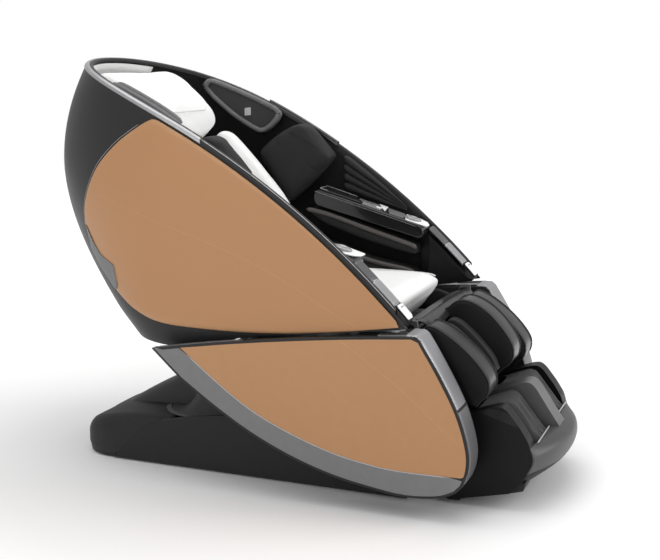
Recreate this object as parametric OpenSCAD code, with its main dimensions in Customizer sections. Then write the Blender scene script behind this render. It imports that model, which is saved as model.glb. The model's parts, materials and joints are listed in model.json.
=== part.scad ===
// Cocoon massage chair, in millimetres.
// +Z is up, the occupant faces -Y, and the floor is z = 0 under the middle of the chair.
// Side outlines are lists of [y, z], and plan outlines are lists of [x, y].

/* [Cocoon] */
// Half of the width across the copper panels
cocoon_half_w = 374; // [372:0.5:376]
// Thickness of the cocoon's outer shell
shell_t = 6; // [5:0.5:7]
// How far the copper panels stand proud of the shell
panel_t = 6; // [4:0.5:6]
// Height where the cocoon is longest
belly_z = 850; // [845:5:855]
// Rear of the cocoon at that height
belly_y = 777; // [770:1:780]

/* [Wings] */
// Half of the width over the wings, which is half of the whole width
wing_half_w = 395; // [392:0.5:400]
// Inner face of a wing at its thick front
wing_in_front = 300; // [298:1:306]
// Inner face of a wing at its thin rear
wing_in_rear = 372; // [372:0.5:378]
// Depth of the pocket that a wing's panel and band lie in
wing_inset = 6; // [4:0.5:7]

/* [Seat and legs] */
// Half of the seat cushion's width
seat_half_w = 248; // [240:1:250]
// Top of the seat cushion
seat_top = 526; // [520:1:530]
// Half of the leg unit's width
leg_half_w = 250; // [244:1:250]
// Half of the foot box's width
foot_half_w = 246; // [240:1:250]
// Angle of the lower leg from the vertical
leg_angle = 38.3; // [38:0.1:38.6]

/* [Base] */
// Half of the base's width
base_half_w = 270; // [266:1:272]
// Rear end of the base
base_rear = 652; // [648:1:656]
// Height of the rubber feet
foot_h = 6; // [5:1:8]

/* [Back] */
// Angle of the back cushion from the vertical
back_angle = 42; // [41:0.5:43]
// Thickness of the back cushion
pad_t = 66; // [60:1:70]
// Half of the distance between the track rails
rail_x = 128; // [126:1:130]

/* [Joints] */
// Radius of the tilt pin
tilt_pin_r = 12; // [10:0.5:14]
// Radius of the recline pins
recline_pin_r = 10; // [9:0.5:11]
// Radius of the leg pins
leg_pin_r = 8; // [7:0.5:9]
// Radial clearance of the running fits
fit = 0.05; // [0.03:0.01:0.09]

/* [Hidden] */
$fn = 48;

// Pivots, as [y, z]
tilt_pivot = [270, 165];
recline_pivot = [200, 330];
leg_pivot = [-385, 470];

// Ends of the three actuators, as [y, z]: on the driving body, then on the driven one
tilt_ends = [[-150, 50], [-80, 310]];
recline_ends = [[-150, 300], [200, 230]];
leg_ends = [[-150, 330], [-400, 354]];
recline_lane = 168;
end_pin_r = 6;
// Each rod's eye is open round its pin, because the linkage is opened there
tilt_eye_r = 9.5;
recline_eye_r = 9;
leg_eye_r = 15;
tube_r = 20;
rod_r = 9;

// Rim of the cocoon's opening: an arc about this centre
rim_c = [1315, -1115];
rim_r = 2364;
rim_t = 12;

// The opened side of the cocoon narrows below this height
narrow_z = 450;
narrow_rate = 0.28;
tail_start = 235;
tail_power = 2.1;
upper_fall = 0.00121;
lower_fall = 0.00321;
lower_power = 1.838;
loft_z0 = 290;
loft_z1 = 1180;
loft_levels = 14;
loft_steps = 12;

function unit(a) = [sin(a), cos(a)];
function along(p, d, s, n = [0, 0], u = 0) = [p[0] + d[0] * s + n[0] * u, p[1] + d[1] * s + n[1] * u];
function arc(c, r, a0, a1, n) = [for (i = [0 : n]) c + r * [cos(a0 + (a1 - a0) * i / n), sin(a0 + (a1 - a0) * i / n)]];

// A smooth run of points through every point of p, n steps between neighbours
function knot(p, i) = p[max(0, min(len(p) - 1, i))];
function ease(a, b, c, d, t) = 0.5 * (2 * b + (c - a) * t + (2 * a - 5 * b + 4 * c - d) * t * t
  + (3 * b - 3 * c + d - a) * t * t * t);
function smooth(p, n) = [for (i = [0 : len(p) - 2], k = [0 : n - 1])
  ease(knot(p, i - 1), knot(p, i), knot(p, i + 1), knot(p, i + 2), k / n)];
function smooth_to(p, n) = concat(smooth(p, n), [p[len(p) - 1]]);

// Line of the lower leg and of the back, each with the normal that faces the occupant
leg_dir = [-sin(leg_angle), -cos(leg_angle)];
leg_out = [-cos(leg_angle), sin(leg_angle)];
back_dir = unit(back_angle);
back_out = [-cos(back_angle), sin(back_angle)];
back_foot = [75, 545];
function on_leg(v, u) = along(leg_pivot, leg_dir, v, leg_out, u);
function on_back(s, u) = along(back_foot, back_dir, s, back_out, u);

// Side outlines
wing_top = [[311, 381], [120, 414], [-72, 441], [-260, 463], [-425, 478]];
wing_front = [[-447, 470], [-500, 384], [-548, 292], [-575, 205], [-577, 150], [-563, 105]];
wing_bottom = [[-545, 86], [-500, 67], [-415, 58], [-320, 68], [-211, 88], [-95, 124], [18, 174], [125, 236], [224, 303]];
band_edge = [[219, 386], [120, 310], [17, 241], [-95, 190], [-211, 152], [-310, 133], [-401, 125], [-566, 127]];
wing_outline = concat(smooth(wing_top, 4), smooth(wing_front, 4), smooth_to(wing_bottom, 4));
panel_low = [[-381, 493], [-202, 464], [25, 443], [264, 444], [383, 467], [462, 508], [535, 573]];
panel_rear = [[562, 610], [584, 690], [566, 752], [492, 826], [413, 886], [348, 961]];
function rim_z(y, r = 2364) = rim_c[1] + sqrt(r * r - (y - rim_c[0]) * (y - rim_c[0]));
panel_top = [for (i = [0 : 16]) let (y = 285 - 655 * i / 16) [y, rim_z(y, rim_r - rim_t - 6)]];
panel_outline = concat(smooth(panel_low, 4), smooth(panel_rear, 4), panel_top);

module slab(x0, x1) {
  translate([x0, 0, 0]) rotate([90, 0, 90]) linear_extrude(x1 - x0) children();
}
// The same piece on the right (-X) and, mirrored, on the left
module both() {
  children();
  mirror([1, 0, 0]) children();
}
module pin(p, r, x0, x1) {
  translate([x0, p[0], p[1]]) rotate([0, 90, 0]) cylinder(h = x1 - x0, r = r);
}
module rim_disc(r) {
  pin(rim_c, r, -500, 500, $fn = 400);
}
// A bar between two [y, z] points, of round section and along the side plane
module strut(a, b, r, x) {
  d = b - a;
  translate([x, a[0], a[1]]) rotate([atan2(d[1], d[0]) - 90, 0, 0]) cylinder(h = norm(d), r = r);
}
module link_plate(x0, x1, a, ra, b, rb) {
  d = (b - a) / norm(b - a);
  s = [-d[1], d[0]];
  slab(x0, x1) polygon([a + s * ra, a - s * ra, b - s * rb, b + s * rb]);
  pin(a, ra, x0, x1);
  pin(b, rb, x0, x1);
}

// Cocoon: stacked plan sections, straight at the sides and rounded at the rear
function side_x(z, out) = cocoon_half_w + out - (z < narrow_z ? (narrow_z - z) * narrow_rate : 0);
function tail_y(z, out) = out + belly_y - (z > belly_z ? upper_fall * pow(z - belly_z, 2)
  : lower_fall * pow(belly_z - z, lower_power));
function section(z, out) = [for (k = [-loft_steps - 1 : loft_steps + 1])
  abs(k) > loft_steps ? [sign(k) * side_x(z, out), -460, z] :
  let (a = 90 * k / loft_steps)
  [side_x(z, out) * sign(k) * pow(abs(sin(a)), 2 / tail_power),
   tail_start + (tail_y(z, out) - tail_start) * pow(abs(cos(a)), 2 / tail_power), z]];
module cocoon_solid(out) {
  m = 2 * loft_steps + 3;
  zs = [for (i = [0 : loft_levels]) loft_z0 + (loft_z1 - loft_z0) * i / loft_levels];
  pts = [for (z = zs) each section(z, out)];
  polyhedron(points = pts, faces = concat(
    [[for (k = [m - 1 : -1 : 0]) k]],
    [for (i = [0 : loft_levels - 1], k = [0 : m - 1])
      [i * m + k, i * m + (k + 1) % m, (i + 1) * m + (k + 1) % m, (i + 1) * m + k]],
    [[for (k = [0 : m - 1]) loft_levels * m + k]]));
}
// What the lower edge of the cocoon leaves standing, arm tips to tail
cocoon_low = concat(smooth([[-404, 490], [-381, 485], [-202, 461], [-60, 443], [30, 432], [78, 418], [130, 400], [200, 385], [300, 380]], 3),
  [[820, 380], [820, 1300], [-460, 1300], [-460, 540]]);
module cocoon_cut() {
  intersection() {
    children();
    slab(-500, 500) polygon(cocoon_low);
    rim_disc(rim_r);
  }
}

// ---- Base ----
base_z0 = foot_h - 1;
cover_top = [[-372, 96], [-300, 150], [-120, 176], [60, 178], [176, 169], [281, 151], [379, 127], [430, 97], [478, 50], [520, base_z0]];
module base_frame() {
  color("dimgray") {
    both() {
      translate([-228, -345, 24]) rotate([-90, 0, 0]) cylinder(h = 880, r = 14);
      slab(-113, -103) difference() {
        polygon([[200, 20], [340, 20], [300, 175], [285, 188], [255, 188], [240, 175]]);
        translate(tilt_pivot) circle(r = tilt_pin_r);
      }
      slab(-32, -24) difference() {
        polygon([[-172, 20], [-128, 20], [-137, 62], [-163, 62]]);
        translate(tilt_ends[0]) circle(r = end_pin_r);
      }
    }
    for (y = [-330, -150, 230, 320, 520]) pin([y, 24], 12, -228, 228);
    pin(tilt_pivot, tilt_pin_r, -117, 117);
    pin(tilt_ends[0], end_pin_r, -34, 34);
    both() pin([585, 27], 6, -234, -176);
    both() translate([-186, 520, 18]) cube([8, 74, 18]);
  }
}
function bumper_plan(r, e) = concat([[-r, 336]], arc([-160, base_rear - 110], 110 + e, 180, 90, 12),
  arc([160, base_rear - 110], 110 + e, 90, 0, 12), [[r, 336]]);
function bumper_side(e) = concat([[330, base_z0 - e], [330, 136 + e]],
  smooth_to([[400, 140 + e], [500, 134 + e], [590, 114 + e], [636, 84 + e], [652 + e, 46], [644 + e, base_z0 - e]], 4));
module rear_bumper() {
  color([0.2, 0.2, 0.2]) difference() {
    intersection() {
      linear_extrude(160) polygon(bumper_plan(base_half_w, 0));
      slab(-280, 280) polygon(bumper_side(0));
    }
    intersection() {
      translate([0, 0, -10]) linear_extrude(200) polygon(bumper_plan(base_half_w - 5, -5));
      slab(-280, 280) polygon(concat([[300, -20], [300, 131]], smooth_to([[400, 135], [500, 129], [588, 109], [632, 80], [647, 46], [639, -20]], 4)));
    }
    // Window for the control box's rear face
    translate([44, 600, 22]) cube([104, 80, 54]);
    // Side covers lap over this part of the flanks
    both() slab(-290, -base_half_w + 8.5) polygon(concat(smooth_to([for (p = cover_top) [p[0] + 1, p[1] + 1]], 5), [[520, 0], [300, 0], [-380, 0]]));
    // The hump stands in the top
    translate([-134, 320, 60]) cube([268, 317, 200]);
  }
}
crest = [[634, 78], [600, 106], [530, 150], [455, 190], [380, 226], [300, 244], [210, 242], [140, 222]];
module hump_cover() {
  color([0.23, 0.23, 0.23]) {
    difference() {
      slab(-132, 132) polygon(concat(smooth_to(crest, 4), [[140, 66], [634, 66]]));
      slab(-126, 126) polygon(concat(smooth_to([[622, 78], [594, 100], [526, 143], [452, 183], [378, 219], [330, 234]], 3),
        [[330, 300], [100, 300], [100, 50], [622, 50]]));
    }
    // Bowl-shaped skirts on both flanks
    both() slab(-262, -132) polygon(concat(smooth_to([[330, 138], [250, 150], [180, 160], [142, 168]], 3),
      smooth_to([[142, 162], [180, 154], [250, 144], [330, 132]], 3)));
    both() slab(-138, -132) polygon([[142, 160], [142, 205], [300, 232], [300, 150], [329, 130], [329, 120]]);
  }
}
module side_cover() {
  color([0.16, 0.16, 0.16]) slab(-base_half_w, -base_half_w + 8)
    polygon(concat(smooth_to(cover_top, 5), [[-380, base_z0]]));
}
module side_cover_right() side_cover();
module side_cover_left() mirror([1, 0, 0]) side_cover();
module base_feet() {
  color("black") both() for (y = [-330, 520]) {
    translate([-228, y, 0]) cylinder(h = foot_h, r = 24);
    translate([-228, y, foot_h]) cylinder(h = 5, r = 12);
  }
}
module control_box() {
  color([0.1, 0.1, 0.1]) difference() {
    translate([46, 556, 24]) cube([100, 93, 40]);
    // Mains inlet
    translate([58, 634, 36]) cube([28, 30, 22]);
    // Rocker window
    translate([108, 641, 38]) cube([24, 20, 18]);
    pin(switch_pivot, switch_pin_r + fit, 105, 135);
  }
  color("silver") for (x = [66, 72, 78]) translate([x - 1, 634, 44]) cube([2, 11, 6]);
}
switch_pivot = [645, 47];
switch_pin_r = 1.5;
module power_switch() {
  color("darkred") {
    slab(108.6, 131.4) polygon([[641.8, 42.5], [648.6, 39.5], [650.2, 47], [648.6, 54.5], [641.8, 51.5]]);
    pin(switch_pivot, switch_pin_r, 106, 134);
  }
}
module air_pump() {
  color([0.3, 0.3, 0.32]) {
    translate([62, -115, 13]) cube([130, 150, 70]);
    for (y = [-80, -40, 0]) translate([92, y, 83]) cylinder(h = 14, r = 6);
    pin([-40, 50], 30, 192, 212);
  }
}
module transport_wheels() {
  color([0.12, 0.12, 0.12]) both() difference() {
    pin([585, 27], 24, -232, -208);
    pin([585, 27], 6 + fit, -240, -200);
  }
}

// ---- Linear actuators: a motor with its tube, and the rod that slides in it ----
function span(e) = norm(e[1] - e[0]);
module actuator_motor(e, motor_side) {
  d = (e[1] - e[0]) / span(e);
  n = [-d[1], d[0]] * motor_side;
  tube_len = span(e) - 62;
  color([0.25, 0.25, 0.27]) difference() {
    union() {
      link_plate(-14, 14, e[0], 13, e[0] + d * 40, tube_r);
      strut(e[0] + d * 30, e[0] + d * tube_len, tube_r, 0);
      strut(e[0] + d * 34 + n * 44, e[0] + d * 122 + n * 44, 22, 0);
      slab(-20, 20) polygon([e[0] + d * 34, e[0] + d * 62, e[0] + d * 62 + n * 46, e[0] + d * 34 + n * 46]);
    }
    pin(e[0], end_pin_r + fit, -20, 20);
    strut(e[0] + d * 50, e[1], rod_r + fit, 0);
  }
}
module actuator_rod(e, eye_r, start = 56) {
  d = (e[1] - e[0]) / span(e);
  color("silver") difference() {
    union() {
      strut(e[0] + d * start, e[1] - d * (eye_r + 3), rod_r, 0);
      pin(e[1], eye_r + 7, -12, 12);
    }
    pin(e[1], eye_r, -20, 20);
  }
}
module tilt_motor() actuator_motor(tilt_ends, 1);
module tilt_rod() actuator_rod(tilt_ends, tilt_eye_r);
module recline_motor() translate([recline_lane, 0, 0]) actuator_motor(recline_ends, -1);
module recline_rod() translate([recline_lane, 0, 0]) actuator_rod(recline_ends, recline_eye_r, 96);
module leg_motor() actuator_motor(leg_ends, 1);
module leg_rod() actuator_rod(leg_ends, leg_eye_r);

// ---- Seat ----
middle_tube = [-110, 372];
module seat_frame() {
  color("gray") {
    both() difference() {
      union() {
        slab(-266, -258) polygon([[-404, 462], [-400, 488], [-372, 488], [-352, 440], [-300, 402], [60, 400],
          [180, 358], [222, 345], [222, 314], [180, 300], [60, 290], [-260, 300], [-372, 440]]);
      }
      pin(recline_pivot, recline_pin_r + fit, -280, -240);
      pin(leg_pivot, leg_pin_r + fit, -280, -240);
    }
    for (p = [middle_tube, [60, 372], [130, 330]]) pin(p, 14, -262, 262);
    // The front tube is in two lengths, clear of the leg actuator
    both() pin([-305, 384], 14, -262, -34);
    both() for (p = [[-250, 320], [50, 330]]) pin(p, 12, -wing_half_w + wing_inset + 6, -262);
    // Arms down to the tilt pin
    both() difference() {
      union() {
        link_plate(-98, -88, [130, 330], 20, tilt_pivot, 24);
        link_plate(-98, -88, [60, 372], 20, [130, 330], 18);
      }
      pin(tilt_pivot, tilt_pin_r + fit, -120, -60);
    }
    // Clevises for the three actuators
    for (e = [tilt_ends[1], leg_ends[0]]) {
      both() link_plate(-26, -18, middle_tube, 15, e, 12);
      pin(e, end_pin_r, -28, 28);
    }
    translate([recline_lane, 0, 0]) {
      both() link_plate(-26, -18, middle_tube, 15, recline_ends[0], 12);
      pin(recline_ends[0], end_pin_r, -28, 28);
    }
    // Pan under the cushion
    translate([-259, -290, 396]) cube([518, 340, 6]);
  }
}
seat_low = [[-392, 504], [-350, 470], [-302, 414], [-288, 402], [40, 402]];
seat_high = [[78, 430], [84, 480], [62, 520], [0, seat_top], [-200, seat_top], [-340, seat_top], [-380, 520]];
function seat_front(x) = -392 + 74 * pow(abs(x) / seat_half_w, 2.2);
seat_plan = concat([for (i = [-8 : 8]) let (x = seat_half_w * i / 8) [x, seat_front(x)]],
  [[seat_half_w, 100], [-seat_half_w, 100]]);
module seat_cushion() {
  color("white") intersection() {
    slab(-seat_half_w, seat_half_w) polygon(concat(seat_low, seat_high));
    linear_extrude(600) polygon(seat_plan);
  }
}
module hip_airbags() {
  color([0.1, 0.1, 0.1]) both() slab(-294, -seat_half_w - 20)
    polygon([[-330, 408], [60, 408], [70, 440], [40, 462], [-300, 468], [-340, 455], [-345, 425]]);
}
// Plan outline of a wing's solid: thin at the rear, thick at the front
wing_plan = [[-wing_half_w, 400], [-wing_in_rear, 400], [-wing_in_rear, 60], [-wing_in_front, -300],
  [-wing_in_front, -560], [-wing_in_front - 10, -620], [-wing_half_w, -620]];
pocket_outline = concat(smooth([[300, 374], [120, 406], [-72, 433], [-260, 455], [-418, 468]], 3),
  smooth([[-440, 460], [-489, 384], [-536, 292], [-563, 205], [-566, 152], [-554, 112]], 3),
  smooth_to([[-538, 93], [-497, 74], [-415, 65], [-320, 75], [-211, 95], [-95, 131], [18, 181], [125, 243], [222, 308]], 3));
module front_strip(grow) {
  intersection() {
    difference() {
      slab(-wing_half_w + 6 - grow, -wing_in_front - 4 + grow) polygon(wing_outline);
      slab(-500, -200) translate([5 + grow, 0]) polygon(wing_outline);
    }
    translate([-500, -700, 100 - grow]) cube([300, 300, 374 + 2 * grow]);
  }
}
module wing_shell() {
  color([0.07, 0.07, 0.07]) difference() {
    intersection() {
      slab(-wing_half_w, -wing_in_front) polygon(wing_outline);
      linear_extrude(600) polygon(wing_plan);
    }
    // Hollow, open towards the seat
    intersection() {
      slab(-wing_half_w + wing_inset + 6, -200) polygon([for (p = pocket_outline) [p[0] * 0.975 - 2, p[1] * 0.965 + 10]]);
      translate([0, 0, -10]) linear_extrude(700) polygon([[-wing_half_w + 12, 400], [-200, 400], [-200, -700], [-wing_half_w + 12, -700]]);
    }
    slab(-wing_half_w - 1, -wing_half_w + wing_inset) polygon(pocket_outline);
    front_strip(0.3);
  }
}
module wing_shell_right() wing_shell();
module wing_shell_left() mirror([1, 0, 0]) wing_shell();
module band_zone(drop) {
  slab(-wing_half_w, -wing_half_w + wing_inset) translate([0, drop])
    polygon(concat(smooth_to(band_edge, 4), [[-620, 127], [-620, 0], [400, 0], [400, 386]]));
}
module wing_panel() {
  color([0.71, 0.54, 0.39]) difference() {
    slab(-wing_half_w, -wing_half_w + wing_inset) polygon(pocket_outline);
    band_zone(1.5);
  }
}
module wing_panel_right() wing_panel();
module wing_panel_left() mirror([1, 0, 0]) wing_panel();
module wing_bands() {
  color([0.42, 0.42, 0.42]) both() intersection() {
    slab(-wing_half_w, -wing_half_w + wing_inset) polygon(pocket_outline);
    band_zone(0);
  }
}
module wing_fronts() {
  color([0.6, 0.6, 0.6]) both() front_strip(0);
}

// ---- Cocoon ----
module back_shell() {
  color([0.12, 0.12, 0.12]) difference() {
    cocoon_cut() cocoon_solid(-panel_t);
    cocoon_solid(-panel_t - shell_t);
    difference() {
      rim_disc(rim_r + 50);
      rim_disc(rim_r - rim_t);
    }
    translate([-500, -600, 0]) cube([1000, 139, 1200]);
  }
}
module cocoon_skin(outline, side) {
  intersection() {
    difference() {
      cocoon_solid(0);
      cocoon_solid(-panel_t);
    }
    slab(side < 0 ? -450 : 200, side < 0 ? -200 : 450) polygon(outline);
  }
}
badge_outline = [[612, 700], [592, 600], [530, 520], [455, 488], [452, 560], [459, 583], [514, 592], [553, 648], [572, 690]];
module cocoon_panel(side) {
  color([0.71, 0.54, 0.39]) difference() {
    cocoon_skin(panel_outline, side);
    slab(-450, 450) polygon(badge_outline);
  }
}
module cocoon_panel_right() cocoon_panel(-1);
module cocoon_panel_left() cocoon_panel(1);
module badge_plates() {
  color("gray") for (side = [-1, 1]) intersection() {
    cocoon_skin(panel_outline, side);
    slab(-450, 450) polygon(badge_outline);
  }
}
module rim_strip() {
  color("silver") intersection() {
    difference() {
      cocoon_solid(-3);
      cocoon_solid(-26);
      rim_disc(rim_r - rim_t);
    }
    rim_disc(rim_r);
    translate([-500, -384, 0]) cube([1000, 1200, 1300]);
  }
}
module inner_liner() {
  color([0.05, 0.05, 0.05]) difference() {
    intersection() {
      cocoon_solid(-panel_t - shell_t - 4);
      slab(-500, 500) polygon([[-200, 480], [60, 470], [170, 470], [330, 640], [420, 700], [800, 760], [800, 1300], [-230, 1300], [-230, 500]]);
      rim_disc(rim_r - rim_t);
    }
    cocoon_solid(-panel_t - shell_t - 14);
  }
}
arm_outline = concat([for (i = [0 : 8]) let (y = -258 - 126 * i / 8) [y, rim_z(y, rim_r - rim_t - 6)]],
  [[-402, 502], [-399, 492], [-381, 488], [-258, 468]]);
module arm_front() {
  color([0.08, 0.08, 0.08]) slab(-cocoon_half_w + panel_t + shell_t + 6, -298) polygon(arm_outline);
}
module arm_front_right() arm_front();
module arm_front_left() mirror([1, 0, 0]) arm_front();
module arm_top_trims() {
  color([0.7, 0.7, 0.7]) both() intersection() {
    slab(-346, -300) polygon(concat([for (i = [0 : 8]) let (y = -260 - 96 * i / 8) [y, rim_z(y)]],
      [for (i = [8 : -1 : 0]) let (y = -260 - 96 * i / 8) [y, rim_z(y, rim_r - rim_t - 5)]]));
    rim_disc(rim_r);
  }
}
module tip_insets() {
  color("white") both() slab(-346, -302) polygon([[-360, rim_z(-360)], [-386, rim_z(-386)], [-412, 508], [-408, 500],
    [-403, 503], [-383, rim_z(-383, rim_r - rim_t - 5)], [-360, rim_z(-360, rim_r - rim_t - 5)]]);
}
pod_outline = concat(smooth_to([[500, 1068], [484, 1086], [455, 1082], [350, 1040], [262, 998], [244, 980], [250, 960]], 4),
  smooth_to([[272, 936], [296, 922], [325, 928], [400, 975], [470, 1035]], 4));
// The pods stand at an angle, along the curving wall
module pod_place() {
  both() translate([-346, 244, 0]) rotate([0, 0, -13]) translate([0, -244, 0]) children();
}
function pod_inner(k) = [for (p = pod_outline) [370 + (p[0] - 370) * k, 1008 + (p[1] - 1008) * k]];
module speaker_pods() {
  color([0.3, 0.3, 0.3]) pod_place() difference() {
    slab(1, 34) polygon(pod_outline);
    slab(26, 40) polygon(pod_inner(0.84));
  }
}
module speaker_grilles() {
  color([0.25, 0.25, 0.25]) pod_place() slab(26, 31) polygon(pod_inner(0.83));
}
bag_outline = concat(smooth_to([[150, 952], [176, 948], [235, 915], [290, 870], [294, 850]], 3),
  smooth_to([[286, 826], [215, 714], [196, 708], [178, 720]], 3), smooth_to([[62, 838], [54, 852], [62, 868], [132, 944]], 3));
module shoulder_airbags() {
  color([0.1, 0.1, 0.1]) both() slab(-345, -262) polygon(bag_outline);
}
console_slope = 0.2818;
function console_z(y) = 727 + console_slope * y;
module rib_pads() {
  color([0.1, 0.1, 0.1]) both() for (k = [0 : 3]) intersection() {
    slab(-346, -330) polygon([for (y = [30, -250]) each y > 0 ?
      [[y, console_z(y) + 30 + 38 * k], [y, console_z(y) + 62 + 38 * k]] :
      [[y, console_z(y) + 62 + 38 * k], [y, console_z(y) + 30 + 38 * k]]]);
    rim_disc(rim_r - rim_t - 14);
    translate([-500, -228, 0]) cube([500, 600, 1200]);
  }
}
module arm_airbags() {
  color([0.1, 0.1, 0.1]) both() {
    slab(-346, -264) polygon(concat(smooth_to([[132, 694], [60, 682], [-80, 640], [-210, 602], [-228, 590]], 3),
      smooth_to([[-231, 572], [-215, 556], [-80, 578], [60, 624], [120, 664]], 3)));
    slab(-346, -262) polygon(concat(smooth_to([[100, 590], [60, 590], [-80, 545], [-200, 524], [-229, 508]], 3),
      smooth_to([[-231, 488], [-215, 474], [-100, 478], [40, 510], [90, 560]], 3)));
  }
}
rail_top = 610;
module back_frame() {
  color("gray") {
    both() {
      strut(on_back(-10, -150), on_back(rail_top, -150), 12, -rail_x);
      link_plate(-254, -246, recline_pivot, 22, on_back(60, -165), 22);
      pin(recline_pivot, recline_pin_r, -270, -246);
    }
    pin(on_back(0, -150), 14, -rail_x, rail_x);
    pin(on_back(60, -178), 14, -254, 254);
    pin(on_back(rail_top, -150), 14, -252, 252);
    for (s = [60, rail_top]) both() pin(on_back(s, -164), 12, -rail_x - 12, -rail_x + 12);
    // Ties to the shell
    both() pin(on_back(60, -178), 12, -361.5, -250);
    // Shaft between the hinge plates, with the recline rod's lever under it
    pin(recline_pivot, 14, -250, 250);
    translate([recline_lane, 0, 0]) {
      both() link_plate(-26, -18, recline_pivot, 18, recline_ends[1], 12);
      pin(recline_ends[1], end_pin_r, -28, 28);
    }
  }
}
// A [s, u] outline on the line of the back
module back_slab(x0, x1, outline) {
  slab(x0, x1) polygon([for (p = outline) on_back(p[0], p[1])]);
}
bolster = [[6, 6], [105, 14], [160, 46], [240, 54], [370, 54], [500, 52], [500, -pad_t], [0, -pad_t], [0, 0]];
pillow = [[508, -60], [712, -60], [738, -34], [760, -8], [762, 14], [736, 34], [690, 50], [600, 60], [545, 58], [512, 38]];
module back_cushion() {
  color("white") {
    back_slab(-176, 176, [[0, 0], [20, 10], [480, 10], [500, 0], [500, -pad_t], [0, -pad_t]]);
    both() back_slab(-236, -176, bolster);
  }
}
module head_pillow() {
  color("white") back_slab(-205, 205, pillow);
}
console_outline = concat([[92, console_z(92)], [-236, console_z(-236)]],
  smooth_to([[-246, 650], [-252, 636], [-246, 622], [-236, console_z(-236) - 42]], 3),
  [[92, console_z(92) - 50]], smooth_to([[102, 712], [106, 728], [102, 744]], 3));
module console() {
  color([0.06, 0.06, 0.06]) difference() {
    slab(-346, -262) polygon(console_outline);
    // Sockets for the dial and the start key
    console_bore(dial_y, dial_r + 1);
    console_bore(key_y, key_r + 1);
  }
}
dial_y = -205;
dial_r = 20;
key_y = -95;
key_r = 10;
console_x = -300;
module on_console(y) {
  translate([console_x, y, console_z(y)]) rotate([atan(console_slope), 0, 0]) children();
}
module console_bore(y, r) {
  on_console(y) translate([0, 0, -8]) cylinder(h = 20, r = r);
  on_console(y) translate([0, 0, -20]) cylinder(h = 20, r = 4 + fit);
}
module console_right() console();
module console_left() mirror([1, 0, 0]) console();
module dial() {
  color("silver") on_console(dial_y) {
    translate([0, 0, -7]) cylinder(h = 15, r = dial_r);
    translate([0, 0, -18]) cylinder(h = 11, r = 4);
  }
}
module dial_right() dial();
module dial_left() mirror([1, 0, 0]) dial();
module start_key() {
  color("white") on_console(key_y) {
    translate([0, 0, -5]) cylinder(h = 7, r = key_r);
    translate([0, 0, -16]) cylinder(h = 11, r = 4);
  }
}
module start_key_right() start_key();
module start_key_left() mirror([1, 0, 0]) start_key();

// ---- Massage mechanism, on the rails at its lowest place ----
roller_r = 27;
carriage_s = 60;
module massage_carriage() {
  a = on_back(carriage_s, -150);
  b = on_back(carriage_s + 130, -150);
  color([0.35, 0.35, 0.38]) {
    both() difference() {
      union() {
        slab(-108, -100) polygon([on_back(carriage_s + 45, -196), on_back(carriage_s + 175, -196),
          on_back(carriage_s + 175, -122), on_back(carriage_s + 45, -122)]);
        for (s = [75, 145]) pin(on_back(carriage_s + s, -128), 5, -142, -100);
        for (s = [75, 145]) pin(on_back(carriage_s + s, -128), 9, -142, -116);
      }
      pin(on_back(carriage_s + 110, -160), 9 + fit, -120, -90);
    }
    for (s = [55, 165]) pin(on_back(carriage_s + s, -186), 7, -104, 104);
    // Arms that carry the rollers
    both() difference() {
      link_plate(-76, -68, on_back(carriage_s + 165, -186), 12, on_back(carriage_s + 125, -108), 11);
      pin(on_back(carriage_s + 110, -160), 24, -90, -60);
    }
    both() pin(on_back(carriage_s + 125, -108), 6, -76, -28);
  }
}
module knead_shaft() {
  color("silver") {
    pin(on_back(carriage_s + 110, -160), 9, -112, 112);
    both() pin(on_back(carriage_s + 114, -160), 16, -60, -44);
  }
}
module massage_roller() {
  color([0.85, 0.6, 0.3]) difference() {
    pin(on_back(carriage_s + 125, -108), roller_r, -64, -32);
    pin(on_back(carriage_s + 125, -108), 6 + fit, -80, -20);
  }
}
module massage_roller_right() massage_roller();
module massage_roller_left() mirror([1, 0, 0]) massage_roller();

// ---- Leg unit ----
guide_x = 215;
guide_u = -22;
module leg_frame() {
  color([0.1, 0.1, 0.1]) {
    difference() {
      slab(-leg_half_w, leg_half_w) polygon([on_leg(14, -4), on_leg(10, -30), on_leg(30, -44), on_leg(228, -44), on_leg(238, -30), on_leg(238, 0), on_leg(22, 0)]);
      both() strut(on_leg(60, guide_u), on_leg(300, guide_u), 9 + fit, -guide_x);
      // Room behind for the actuator's rod end
      slab(-32, 32) polygon([on_leg(50, -60), on_leg(160, -60), on_leg(160, -30), on_leg(50, -30)]);
    }
    both() {
      slab(-leg_half_w, -leg_half_w + 10) polygon([on_leg(-12, -12), on_leg(-14, 0), on_leg(-8, 12),
        on_leg(8, 12), on_leg(18, 0), on_leg(40, -2), on_leg(60, -20), on_leg(20, -34)]);
      pin(leg_pivot, leg_pin_r, -268, -leg_half_w + 4);
      link_plate(-30, -22, leg_ends[1], 12, on_leg(100, -30), 20);
    }
    pin(leg_ends[1], end_pin_r, -30, 30);
  }
}
side_lobe = concat(smooth_to([[40, 2], [22, 20], [26, 40], [60, 60], [120, 78], [180, 86], [225, 82]], 4),
  smooth_to([[250, 62], [254, 40], [240, 2]], 4));
middle_lobe = concat(smooth_to([[30, 2], [14, 40], [16, 72], [40, 98], [90, 118], [150, 124], [200, 118]], 4),
  smooth_to([[228, 94], [232, 60], [222, 2]], 4));
module lobe(outline, x0, x1) {
  color([0.09, 0.09, 0.09]) slab(x0, x1) polygon([for (p = outline) on_leg(p[0], p[1])]);
}
module calf_lobe_right() lobe(side_lobe, -262, -166);
module calf_lobe_middle() lobe(middle_lobe, -48, 48);
module calf_lobe_left() lobe(side_lobe, 166, 262);

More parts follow.
